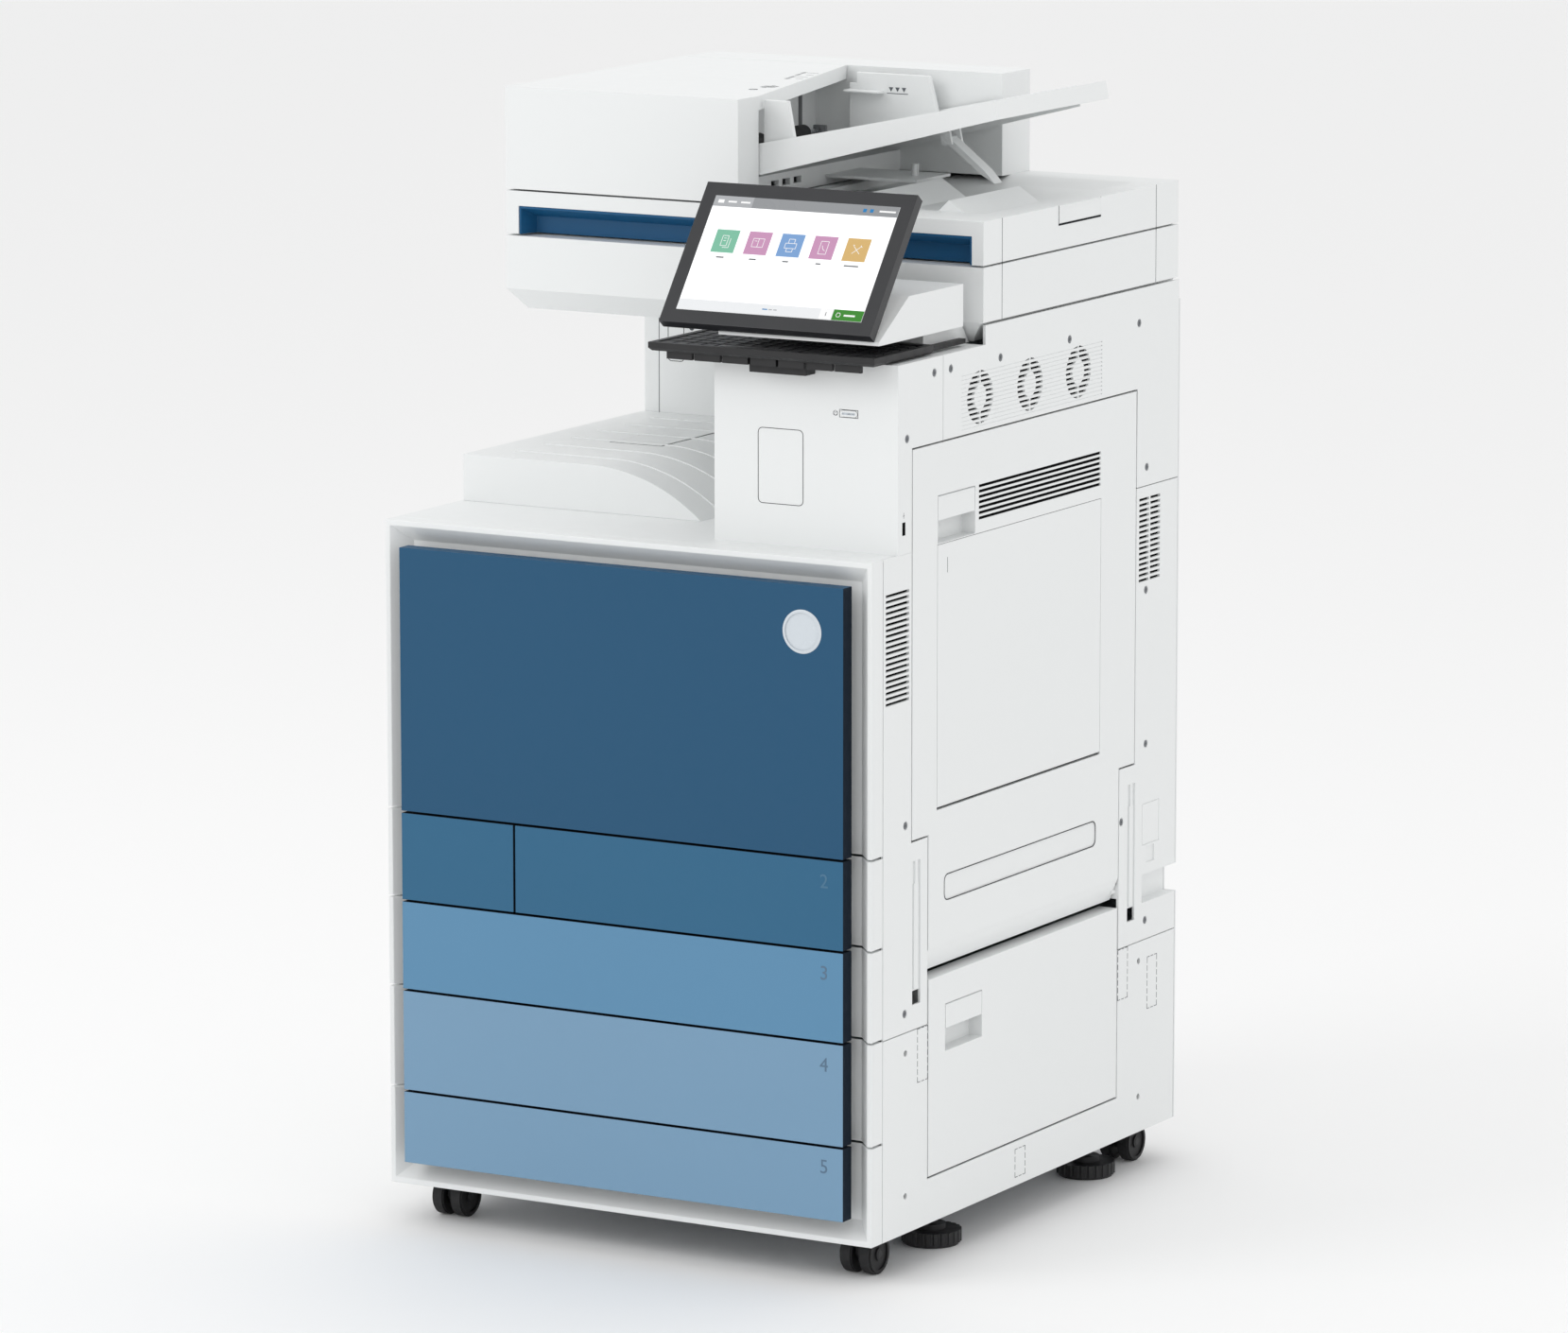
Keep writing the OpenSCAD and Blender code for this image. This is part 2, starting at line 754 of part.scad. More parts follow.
module tray_3_bin() placed() color("whitesmoke") drawer(row_3, 0, body_w, bin_left);

module tray_3_panel() placed() color([0.4, 0.59, 0.73]) drawer_panel(row_3, panel_inset, body_w - panel_inset);

module tray_4_bin() placed() color("whitesmoke") drawer(row_4, 0, body_w, bin_left);

module tray_4_panel() placed() color([0.5, 0.64, 0.76]) drawer_panel(row_4, panel_inset, body_w - panel_inset);

module tray_5_bin() placed() color("whitesmoke") drawer(row_5, 0, body_w, bin_left, true);

module tray_5_panel() placed() color([0.5, 0.64, 0.76]) drawer_panel(row_5, panel_inset, body_w - panel_inset);

module waste_toner_box() placed() color("whitesmoke") {
    z0 = row_2[0] + panel_gap / 2;
    z1 = row_2[1] - panel_gap / 2;
    x1 = waste_w - panel_gap / 2;
    row_front(z0, z1, 0, x1);
    panel_carrier(panel_inset, x1, row_2[0], row_2[1]);
    bin(bin_left, divider_x - rail_w - bin_fit, bin_low(row_2), bin_high(row_2));
}

module waste_toner_panel() placed() color([0.25, 0.44, 0.58])
    drawer_panel(row_2, panel_inset, waste_w - panel_gap / 2);

// ---------- right side ----------

module right_door() placed() color("whitesmoke") {
    inner = body_w - door_t;
    vents = 7;
    pitch = 5.6;
    difference() {
        union() {
            block([inner, door_y[0], door_step_z], [body_w, door_y[1], door_z[1]]);
            along_y(door_low_y[0], door_low_y[1])
                polygon([[inner, door_z[0]], [body_w - 10, door_z[0]], [body_w, door_z[0] + 25],
                    [body_w, door_step_z + tiny], [inner, door_step_z + tiny]]);
            door_pin(door_low_y[0] - 5, door_low_y[0] + 6, door_pin_r);
            door_pin(door_low_y[1] - 6, door_low_y[1] + 5, door_pin_r);
        }
        grip_cut(grip_y, grip_z);
        block([body_w - bypass_t - 2.4, bypass_y[0] - 0.8, bypass_z[0] - 2.2],
            [body_w + 1, bypass_y[1] + 0.8, bypass_z[1] + 0.6]);
        for (i = [0:vents - 1])
            block([body_w - 6, 225, 770 + i * pitch], [body_w + 1, 496, 773.2 + i * pitch]);
        translate([body_w - 0.8, 0, 0]) rotate([90, 0, 90]) linear_extrude(2)
            translate([152, 380]) rounded_rect([337, 29], 8);
        block([inner - 1, bypass_y[0] + 5, bypass_z[0] + 5],
            [body_w - bypass_t - 2.4 - wall, bypass_y[1] - 5, bypass_z[1] - 5]);
        block([inner - 1, door_low_y[0] + 8, door_z[0] + 40], [body_w - wall - 1, door_low_y[1] - 8, door_step_z - 2]);
        block([inner - 1, 240, 765], [body_w - 6 - wall, door_y[1] - 8, door_z[1] - 6]);
    }
}

module right_door_handle() placed() color("whitesmoke") grip_flap(grip_y, grip_z);

module bypass_tray() placed() color("whitesmoke") {
    difference() {
        union() {
            block([body_w - bypass_t, bypass_y[0], bypass_z[0] + 2],
                [body_w, bypass_y[1], bypass_z[1]]);
            rod_y(body_w - 2, bypass_z[0] + 2, bypass_y[0], bypass_y[1], 2);
        }
        block([body_w - bypass_t - 1, bypass_y[0] + 20, bypass_z[0] + 20],
            [body_w - wall, bypass_y[1] - 20, bypass_z[1] - 20]);
    }
}

module lower_door() placed() color("whitesmoke") {
    inner = body_w - door_t;
    difference() {
        block([inner, lower_y[0], lower_door_z[0]], [body_w, lower_y[1], lower_door_z[1]]);
        grip_cut(lower_grip_y, lower_grip_z);
        block([inner - 1, lower_y[0] + 130, lower_door_z[0] + 10],
            [body_w - wall, lower_y[1] - 10, lower_door_z[1] - 10]);
        block([inner - 1, lower_y[0] + 10, lower_door_z[0] + 10],
            [body_w - wall, lower_y[0] + 125, lower_grip_z - 5]);
    }
}

module lower_door_handle() placed() color("whitesmoke") grip_flap(lower_grip_y, lower_grip_z);

// ---------- scanner and lid ----------

// Tapered belly under the scanner
module belly(x0, x1, y0, y1, z0, z1, taper) {
    intersection() {
        along_y(y0, y1) polygon([[x0, z1], [x0 + taper, z0], [x1 - taper, z0], [x1, z1]]);
        along_x(x0, x1) polygon([[y0, z1], [y0 + taper, z0], [y1, z0], [y1, z1]]);
    }
}

// Lid hinge along the back edge: pinned knuckles of the scanner on both sides of each lid knuckle
lid_knuckles = [[70, 110], [body_w - 115, body_w - 75]];
knuckle_w = 14;
knuckle_r = 4;
lid_pin_r = 1.6;

module lid_axis_rod(x0, x1, r) {
    rod_x(scan_y + scan_d, platen_z + gap / 2, x0, x1, r);
}

module fixed_knuckles(r, spare) {
    for (k = lid_knuckles) {
        lid_axis_rod(k[0] - 0.5 - knuckle_w - spare, k[0] - 0.5 + spare, r);
        lid_axis_rod(k[1] + 0.5 - spare, k[1] + 0.5 + knuckle_w + spare, r);
    }
}

module scanner_base() placed() color("whitesmoke") {
    x = [feeder_x, body_w];
    y = [scan_y, scan_y + scan_d];
    top_t = 6;
    ledge = 5;
    for (k = lid_knuckles) {
        lid_axis_rod(k[0] - 0.5 - tiny, k[0] + 8, lid_pin_r);
        lid_axis_rod(k[1] - 8, k[1] + 0.5 + tiny, lid_pin_r);
    }
    fixed_knuckles(knuckle_r, 0);
    difference() {
        union() {
            block([x[0], y[0], scan_z], [x[1], y[1], platen_z]);
            belly(x[0], skin_x - seam, y[0], y[1], belly_z, scan_z + tiny, 17);
        }
        block([x[0] + 24, y[0] + 24, belly_z + wall], [x[1] - 24, y[1] - wall, scan_z - wall]);
        difference() {
            block([x[0] + wall, y[0] + wall, scan_z + wall], [x[1] - wall, y[1] - wall, platen_z - top_t]);
            for (rail_y = [y[0] + 80, y[0] + 360])
                block([x[0], rail_y, scan_z], [x[1], rail_y + 8, scan_z + 7]);
        }
        for (g = glass_boxes()) {
            block([g[0] + ledge, g[2] + ledge, platen_z - top_t - 1], [g[1] - ledge, g[3] - ledge, platen_z + 1]);
            block([g[0] - 0.3, g[2] - 0.3, platen_z - glass_t], [g[1] + 0.3, g[3] + 0.3, platen_z + 1]);
        }
        for (k = lid_knuckles) lid_axis_rod(k[0] - 0.4, k[1] + 0.4, knuckle_r + 0.5);
    }
}

// Each pane: X low and high, Y low and high
function glass_boxes() = [[84, body_w - 40, scan_y + 70, scan_y + 70 + 307],
    [36, 68, scan_y + 70, scan_y + 70 + 307]];

module platen_glass() placed() color([0.5, 0.65, 0.65]) {
    for (g = glass_boxes()) block([g[0], g[2], platen_z - glass_t], [g[1], g[3], platen_z]);
}

module scan_carriage() placed() color("black") {
    x = 30;
    y = [scan_y + 50, scan_y + 398];
    difference() {
        block([x, y[0], scan_z + 8], [x + 46, y[1], platen_z - 9]);
        block([x + 16, y[0] + 12, scan_z + 24], [x + 30, y[1] - 12, platen_z]);
    }
}

recess_x = [22, 571];
recess_d = 24;
recess_top = 30;

// Sunk delivery area on top of the lid and the two ramps in it
step_x = wall_end_x + 7.5;
ramp_x = [wall_end_x + 87.5, wall_end_x + 194.5];

module lid() placed() color("whitesmoke") {
    floor_z = lid_top - 8;
    difference() {
        union() {
            block([feeder_x, scan_y, lid_z], [body_w, scan_y + scan_d, lid_top]);
            for (k = lid_knuckles) lid_axis_rod(k[0], k[1], knuckle_r);
        }
        for (k = lid_knuckles) lid_axis_rod(k[0] - 1, k[1] + 1, lid_pin_r + axle_fit);
        fixed_knuckles(knuckle_r + 0.5, 0.5 - tiny);
        block([recess_x[0], scan_y - 1, lid_z - 1], [recess_x[1], scan_y + recess_d, lid_z + recess_top]);
        intersection() {
            along_y(scan_y + 60, scan_y + 400)
                polygon([[step_x, floor_z], [body_w - 60, floor_z], [body_w - 29, lid_top + 1], [step_x, lid_top + 1]]);
            along_x(step_x - 1, body_w - 28) polygon([[scan_y + 60, lid_top + 1], [scan_y + 84, floor_z],
                [scan_y + 372, floor_z], [scan_y + 398, lid_top + 1]]);
        }
        block([feeder_x + 12, scan_y + 40, lid_z + 4], [wall_end_x - 12, scan_y + scan_d - 12, lid_top + 1]);
        block([body_w - 1, scan_y + 166, lid_top - 18], [body_w + 1, scan_y + 258, lid_top - 15]);
    }
    for (r = [[ramp_x[0], 300, 480], [ramp_x[1], 300, 455]])
        along_y(r[1], r[2]) polygon([[r[0], floor_z - tiny], [r[0] + 20, lid_top + 11], [r[0] + 50, floor_z - tiny]]);
}

module lid_handle() placed() color([0.1, 0.3, 0.45]) {
    t = 2;
    difference() {
        block([recess_x[0] + 0.1, scan_y + 1, lid_z], [recess_x[1] - 0.1, scan_y + recess_d, lid_z + recess_top]);
        intersection() {
            along_x(recess_x[0], recess_x[1])
                polygon([[scan_y, lid_z - 1], [scan_y + recess_d - t, lid_z - 1],
                    [scan_y + recess_d - t, lid_z + recess_top - 12], [scan_y, lid_z + recess_top - t]]);
            translate([0, 0, lid_z - 1]) linear_extrude(recess_top)
                polygon([[recess_x[0] + t, scan_y], [recess_x[0] + 10, scan_y + recess_d - t],
                    [recess_x[1] - 10, scan_y + recess_d - t], [recess_x[1] - t, scan_y]]);
        }
    }
}

// ---------- document feeder ----------

module feeder_body() placed() color("whitesmoke") {
    z = lid_top + tiny;
    top = lid_top + feeder_base_h;
    base_end = wall_end_x - 16;
    stop_z = lid_top + 8;
    difference() {
        block([feeder_x, block_y[0], z], [block_end_x, block_y[1], feeder_top]);
        block([feeder_x + wall, block_y[0] + wall, z - 1],
            [block_end_x - wall, block_y[1] - wall, feeder_top - wall]);
    }
    difference() {
        union() {
            block([feeder_x + 6, tray_y[0], z], [base_end, block_y[0] - 8, top]);
            block([mouth_x - 52, block_y[0] - 9, z], [base_end, block_y[0] + tiny, top]);
        }
        block([feeder_x + 12, tray_y[0] + 6, z - 1], [base_end - 6, block_y[0] - 14, top - 4]);
        for (i = [0:2]) block([base_end - 7, 330 + i * 24, top - 14], [base_end + 1, 346 + i * 24, top - 7]);
    }
    block([mouth_x - 46, tray_y[0], top - tiny], [mouth_x - 40, block_y[0] + tiny, feeder_top - 26]);
    block([base_end - 4, 445, stop_z], [base_end + 112, 520, stop_z + 3]);
    translate([base_end + 90, 482, stop_z]) cylinder(h = 16, r = 4);
    rod_y(pivot[0], pivot[1], tray_y[1] - 2.6, block_y[0] + tiny, pivot_r);
    translate([0, tray_y[0] + 3.5, 0]) {
        rod_y(pivot[0], pivot[1], -3.5, 3.5, pivot_r);
        rod_y(pivot[0], pivot[1], 0, 3.5, pivot_r + 3);
        block([pivot[0] - 12, 0, top - tiny], [pivot[0] - 2, 3.5, pivot[1]]);
    }
}

// Plan of the feeder cover: its right edge runs slantwise along the mouth
module cover_plan(inset) {
    back = block_y[0] - gap;
    polygon([[feeder_x + inset, scan_y + inset], [wall_end_x - inset, scan_y + inset],
        [wall_end_x - inset, wall_y[1] - inset], [wall_end_x - 1.2 * inset, wall_y[1]],
        [mouth_x - 1.2 * inset, back - inset], [feeder_x + inset, back - inset]]);
}

module feeder_cover() placed() color("whitesmoke") {
    z = lid_top + gap;
    back = block_y[0] - gap;
    difference() {
        translate([0, 0, z]) linear_extrude(feeder_top - z) cover_plan(0);
        translate([0, 0, z - 1]) linear_extrude(feeder_top - z + 1 - wall) intersection() {
            cover_plan(wall);
            translate([0, wall_y[1]]) square([body_w, back - wall_y[1] + 1]);
        }
        block([feeder_x + wall, scan_y + wall, z - 1], [wall_end_x - wall, wall_y[1] - wall, feeder_top - wall]);
        block([40, wall_y[1] - wall - 1, z - 1], [wall_end_x - 40, wall_y[1] + 1, feeder_top - 30]);
        block([mouth_x - 60, wall_y[1] + tiny, z - 1], [wall_end_x + 1, back + 1, feeder_top - 15]);
    }
}

// Frame of the sloping input tray: X along the tray, Z square to it
module tray_frame() {
    translate([tray_origin[0], 0, tray_origin[1]]) rotate([0, -tray_angle, 0]) children();
}

module input_tray() placed() color("whitesmoke") {
    skirt = 2.5;
    ear_w = 22;
    back_cut = 80;
    outline = [[0, tray_y[0]], [tray_len, tray_y[0]], [tray_len, tray_y[1] - back_cut],
        [tray_len - back_cut, tray_y[1]], [0, tray_y[1]]];
    tray_frame() intersection() {
        difference() {
            along_y(tray_y[0], tray_y[1]) polygon([[0, -15.5], [60, -22.5], [tray_len, -9],
                [tray_len + 2, tray_skirt], [0, tray_skirt]]);
            block([-1, tray_y[0] + skirt, 0], [tray_len - skirt, tray_y[1] - skirt, tray_skirt + 1]);
            along_y(tray_y[0] + skirt, tray_y[1] - skirt)
                polygon([[6, -20], [60, -24], [tray_len - 6, -10], [tray_len - 6, -3], [6, -3]]);
        }
        translate([0, 0, -60]) linear_extrude(120) polygon(outline);
    }
    for (y = [tray_y[0], tray_y[1] - skirt]) difference() {
        union() {
            block([pivot[0] - 6, y, tray_origin[1] + 4], [pivot[0] + 16, y + skirt, pivot[1]]);
            rod_y(pivot[0], pivot[1], y, y + skirt, 6);
        }
        rod_y(pivot[0], pivot[1], y - 1, y + skirt + 1, pivot_r + axle_fit);
    }
    for (y = [prop_y[0] - 4, prop_y[1] + 0.5]) difference() {
        tray_frame() block([156, y, -28], [168, y + 3.5, -3 + tiny]);
        rod_y(prop_top[0], prop_top[1], y - 1, y + 4.5, prop_pin_r + axle_fit);
    }
}

// Height of the paper surface above the floor at x
function surface_z(x) = tray_origin[1] + (x - tray_origin[0]) * tan(tray_angle);

module guide(x0, x1, slope, y0, y1, notch = 0) {
    lift = 0.8;
    top = feeder_top - 5;
    along_y(y0, y1) polygon([[x0, surface_z(x0) + lift], [x1, surface_z(x1) + lift], [x1 - slope, top],
        [x0 + notch + tiny, top], [x0 + notch, feeder_top - 17], [x0, feeder_top - 17]]);
}

guide_mid = (tray_y[0] + tray_y[1]) / 2;

module front_guide() placed() color("whitesmoke") {
    y = guide_mid - guide_span / 2;
    guide(wall_end_x, wall_end_x + 38, 9, y - 6, y);
}

module rear_guide() placed() color("whitesmoke") {
    y = guide_mid + guide_span / 2;
    guide(mouth_x + 13, mouth_x + 124, 12, y, y + 6, 9);
    block([mouth_x + 13, y - 14, feeder_top - 26], [mouth_x + 56, y + tiny, feeder_top - 23.5]);
}

// Folding prop under the input tray
prop_top = [tray_origin[0] + 163, tray_origin[1] + 11];
prop_tip = [prop_top[0] + 57, lid_top + 5];
prop_y = [502, 520];
prop_pin_r = 2;

module tray_prop() placed() color("whitesmoke") {
    dx = prop_tip[0] - prop_top[0];
    dz = prop_tip[1] - prop_top[1];
    len = sqrt(dx * dx + dz * dz);
    translate([prop_top[0], 0, prop_top[1]]) rotate([0, atan2(-dz, dx), 0]) {
        along_y(prop_y[0], prop_y[1]) polygon([[0, -3], [len - 18, -3], [len, 0], [len - 18, 3], [0, 3]]);
        rod_y(0, 0, prop_y[0], prop_y[1], 3.4);
        rod_y(0, 0, prop_y[0] - 4, prop_y[1] + 4, prop_pin_r);
    }
}

// ---------- display and keyboard ----------

module display_frame() {
    translate([display_x, display_y, display_z]) rotate([-display_lean, 0, 0]) children();
}

module display_case() placed() color([0.15, 0.15, 0.16]) {
    margin_x = (display_w - screen_w) / 2;
    margin_z = (display_h - screen_h) / 2;
    display_frame() {
        difference() {
            cube([display_w, display_t, display_h]);
            block([margin_x - 0.2, -1, margin_z - 0.2],
                [margin_x + screen_w + 0.2, 1.2, margin_z + screen_h + 0.2]);
        }
        block([hinge_x[0] + 12, display_t - tiny, hinge_s - 6], [hinge_x[1] - 12, hinge_off, hinge_s + 6]);
        rod_x(hinge_off, hinge_s, hinge_x[0], hinge_x[1], hinge_r);
    }
}

module display_screen() placed() color("white") {
    margin_x = (display_w - screen_w) / 2;
    margin_z = (display_h - screen_h) / 2;
    display_frame() block([margin_x, 0.1, margin_z], [margin_x + screen_w, 1.2, margin_z + screen_h]);
}

module display_base() placed() color("whitesmoke") {
    foot_z = support_z[0];
    difference() {
        along_x(support_x[0], support_x[1])
            polygon([[support_y[0], foot_z], [support_y[0], foot_z + 4], [support_y[0] + 62, support_z[1]],
                [support_y[1], support_z[1]], [support_y[1], foot_z]]);
        block([support_x[0] + wall, support_y[0] + 70, foot_z - 1],
            [support_x[1] - wall, support_y[1] - wall, support_z[1] - wall]);
    }
    for (x = [hinge_x[0] + 1, hinge_x[1] - 9]) difference() {
        union() {
            display_frame() rod_x(hinge_off, hinge_s, x, x + 8, hinge_r + 3);
            block([display_x + x, hinge_world[0] - 5.5, hinge_world[1] - 14],
                [display_x + x + 8, hinge_world[0] + 5.5, hinge_world[1]]);
        }
        display_frame() rod_x(hinge_off, hinge_s, x - 1, x + 9, hinge_r + axle_fit);
    }
    difference() {
        along_x(400, 560)
            polygon([[150, belly_z - seam + tiny], [scan_y + 15, belly_z - seam + tiny],
                [scan_y - 2, foot_z - 1], [support_y[1], foot_z - 1], [support_y[1], foot_z + tiny],
                [150, foot_z + tiny]]);
        block([403, 155, belly_z - 5], [557, scan_y - 8, foot_z + 1]);
    }
}

module keyboard() placed() color([0.12, 0.12, 0.13]) {
    x = [keyboard_x, keyboard_x + keyboard_w];
    y = [keyboard_y, keyboard_y + keyboard_d];
    segments = 7;
    seg_gap = 3;
    seg_x = [keyboard_x + 18, keyboard_x + 246];
    seg_w = (seg_x[1] - seg_x[0] + seg_gap) / segments;
    edge = 3;
    difference() {
        intersection() {
            block([x[0], y[0], keyboard_z], [x[1], y[1], keyboard_z + keyboard_t]);
            along_x(x[0], x[1])
                polygon([[y[0] + edge, keyboard_z], [y[0], keyboard_z + edge], [y[0], keyboard_z + keyboard_t],
                    [y[1], keyboard_z + keyboard_t], [y[1], keyboard_z]]);
            along_y(y[0], y[1])
                polygon([[x[0] + edge, keyboard_z], [x[0], keyboard_z + edge], [x[0], keyboard_z + keyboard_t],
                    [x[1], keyboard_z + keyboard_t], [x[1], keyboard_z + edge], [x[1] - edge, keyboard_z]]);
        }
        block([x[0] + 7, y[0] + 6, keyboard_z + keyboard_t - 3], [x[1] - 7, y[1] - 8, keyboard_z + keyboard_t + 1]);
    }
    for (i = [0:segments - 1])
        block([seg_x[0] + i * seg_w, y[0] + 7, keyboard_z - 8],
            [seg_x[0] + (i + 1) * seg_w - seg_gap, y[0] + 12, keyboard_z + tiny]);
    block([keyboard_x + 112, y[0] + 14, keyboard_z - 16], [keyboard_x + 178, y[0] + 34, keyboard_z + tiny]);
    for (rx = [384, 564]) block([rx, y[1] - 30, keyboard_z + 1], [rx + 8, scan_y - 14, keyboard_z + 6]);
}

module power_button() placed() color("whitesmoke") {
    along_y(column_y - 0.8, column_y + wall + 2) button_outline();
}

// ---------- running gear ----------

// Fork of a caster: swivel plate, web between the wheels, and the axle
module fork(drop = 0.4) {
    z = wheel_d / 2;
    translate([0, caster_trail, base_z - 4]) cylinder(h = 4 - drop, r = 22);
    block([-caster_web / 2, -12, z], [caster_web / 2, caster_trail + 10, base_z - 3.9]);
    rod_x(0, z, -caster_web / 2, caster_web / 2, 10);
    rod_x(0, z, -caster_web / 2 - wheel_w - 0.6, caster_web / 2 + wheel_w + 0.6, axle_r);
}

// Pair of wheels of a caster
module twin_wheels() {
    r = wheel_d / 2;
    side = caster_web / 2 + 0.4;
    for (s = [-1, 1]) translate([s > 0 ? side : -side - wheel_w, 0, r]) rotate([0, 90, 0]) difference() {
        union() {
            translate([0, 0, 1.5]) cylinder(h = wheel_w - 3, r = r);
            cylinder(h = wheel_w, r = r - 1.5);
        }
        translate([0, 0, -1]) cylinder(h = wheel_w + 2, r = axle_r + axle_fit);
        for (face = [-1, wheel_w - 2]) translate([0, 0, face]) difference() {
            cylinder(h = 3, r = r - 5);
            translate([0, 0, -1]) cylinder(h = 5, r = axle_r + 3);
        }
    }
}

module at_caster(ix, iy) {
    placed() translate([caster_x[ix], caster_y[iy], 0]) children();
}

module front_left_fork() color("black") at_caster(0, 0) fork();
module front_left_wheel() color("black") at_caster(0, 0) twin_wheels();
module front_right_fork() color("black") at_caster(1, 0) fork();
module front_right_wheel() color("black") at_caster(1, 0) twin_wheels();
module rear_forks() color("black") for (i = [0, 1]) at_caster(i, 1) fork(0);
module rear_wheels() color("black") for (i = [0, 1]) at_caster(i, 1) twin_wheels();

// Knurled levelling foot on its stud
module glide(y) {
    notches = 24;
    translate([glide_x, y, 0]) {
        difference() {
            union() {
                cylinder(h = 4, r = glide_d / 2 - 3);
                translate([0, 0, 3]) cylinder(h = glide_t - 3, r = glide_d / 2);
            }
            for (i = [0:notches - 1]) rotate(i * 360 / notches)
                translate([glide_d / 2 + 0.6, 0, 2]) cylinder(h = glide_t, r = 2.2);
        }
        translate([0, 0, glide_t - tiny]) cylinder(h = 6, r = 15);
        cylinder(h = base_z + 2, r = stud_r);
    }
}

module front_glide() placed() color("black") glide(glide_y[0]);
module rear_glide() placed() color("black") glide(glide_y[1]);

base_plate();
chassis_frame();
drawer_rails();
left_cover();
rear_cover();
cabinet_side_cover();
right_front_cover();
right_rear_cover();
right_upper_cover();
column_cover();
top_deck();
exit_tray();
rear_tower();
display_base();
scanner_base();
platen_glass();
cover_screws();
power_inlet();
toner_cartridges();
transfer_belt();
fuser_housing();
fuser_roller();
scan_carriage();
door_frame();
door_panel();
tray_2_bin();
tray_2_panel();
tray_3_bin();
tray_3_panel();
tray_4_bin();
tray_4_panel();
tray_5_bin();
tray_5_panel();
waste_toner_box();
waste_toner_panel();
right_door();
right_door_handle();
bypass_tray();
lower_door();
lower_door_handle();
lid();
lid_handle();
feeder_body();
feeder_cover();
input_tray();
front_guide();
rear_guide();
tray_prop();
display_case();
display_screen();
keyboard();
power_button();
front_left_fork();
front_left_wheel();
front_right_fork();
front_right_wheel();
rear_forks();
rear_wheels();
front_glide();
rear_glide();
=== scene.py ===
import json
import math

import bmesh
import bpy
from mathutils import Matrix, Vector

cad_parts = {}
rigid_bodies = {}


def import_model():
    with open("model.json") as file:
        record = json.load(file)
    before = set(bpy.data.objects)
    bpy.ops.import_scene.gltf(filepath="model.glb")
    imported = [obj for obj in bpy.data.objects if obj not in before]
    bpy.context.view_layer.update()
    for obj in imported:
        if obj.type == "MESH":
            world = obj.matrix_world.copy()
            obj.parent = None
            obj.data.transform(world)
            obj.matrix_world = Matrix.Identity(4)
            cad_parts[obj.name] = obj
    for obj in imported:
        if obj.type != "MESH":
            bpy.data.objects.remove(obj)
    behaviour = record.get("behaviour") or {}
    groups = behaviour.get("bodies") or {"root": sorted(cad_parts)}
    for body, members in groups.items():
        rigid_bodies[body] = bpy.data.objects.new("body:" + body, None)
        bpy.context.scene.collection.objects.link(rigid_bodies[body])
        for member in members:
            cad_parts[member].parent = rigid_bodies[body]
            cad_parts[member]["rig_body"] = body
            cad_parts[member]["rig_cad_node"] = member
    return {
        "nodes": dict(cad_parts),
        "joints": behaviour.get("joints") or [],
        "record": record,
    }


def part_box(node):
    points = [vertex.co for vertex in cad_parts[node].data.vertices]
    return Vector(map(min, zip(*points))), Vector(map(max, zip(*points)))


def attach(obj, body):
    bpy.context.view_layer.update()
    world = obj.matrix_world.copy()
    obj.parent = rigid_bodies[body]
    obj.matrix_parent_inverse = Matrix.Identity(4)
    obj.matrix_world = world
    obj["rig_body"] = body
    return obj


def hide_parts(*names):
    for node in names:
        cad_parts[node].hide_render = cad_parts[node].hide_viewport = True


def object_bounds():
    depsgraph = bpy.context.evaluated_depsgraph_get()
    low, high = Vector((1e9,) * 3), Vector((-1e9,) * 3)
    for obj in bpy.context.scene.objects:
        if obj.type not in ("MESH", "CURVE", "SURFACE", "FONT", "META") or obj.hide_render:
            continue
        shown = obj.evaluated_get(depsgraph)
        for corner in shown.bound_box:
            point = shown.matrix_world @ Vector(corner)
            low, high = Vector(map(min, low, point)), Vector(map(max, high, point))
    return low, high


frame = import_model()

MM = 0.001
HAIR = 0.0002   # how far a seam or a printed line stands out of its surface, and reaches into it
cad_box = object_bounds()
nodes = frame["nodes"]
bodies_of = {n: b for b, members in frame["record"]["behaviour"]["bodies"].items() for n in members}
slots_of = {s["node"]: s["material_slot"] for s in frame["record"]["subparts"]}
joints = {j["name"]: j for j in frame["joints"]}
rim_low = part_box("door_frame")[0]
floor_z = cad_box[0][2]


def at(x, y, z):
    """A point in millimetres from the front rim's left edge on the floor, as metres in the row's frame."""
    return Vector((rim_low.x + x * MM, rim_low.y + y * MM, floor_z + z * MM))


def x_at(x):
    return at(x, 0, 0).x


def y_at(y):
    return at(0, y, 0).y


def z_at(z):
    return at(0, 0, z).z


# ---------- finishes ----------

def srgb(r, g, b):
    def linear(c):
        c /= 255
        return c / 12.92 if c < 0.04045 else ((c + 0.055) / 1.055) ** 2.4
    return (linear(r), linear(g), linear(b), 1)


def group_sockets(group, ins):
    """Gives a node group its inputs and the three outputs that every surface effect has."""
    for name, kind, value in ins:
        socket = group.interface.new_socket(name, in_out="INPUT", socket_type=kind)
        socket.default_value = value
    for name, kind in (("Colour", "Color"), ("Roughness", "Float"), ("Height", "Float")):
        group.interface.new_socket(name, in_out="OUTPUT", socket_type="NodeSocket" + kind)


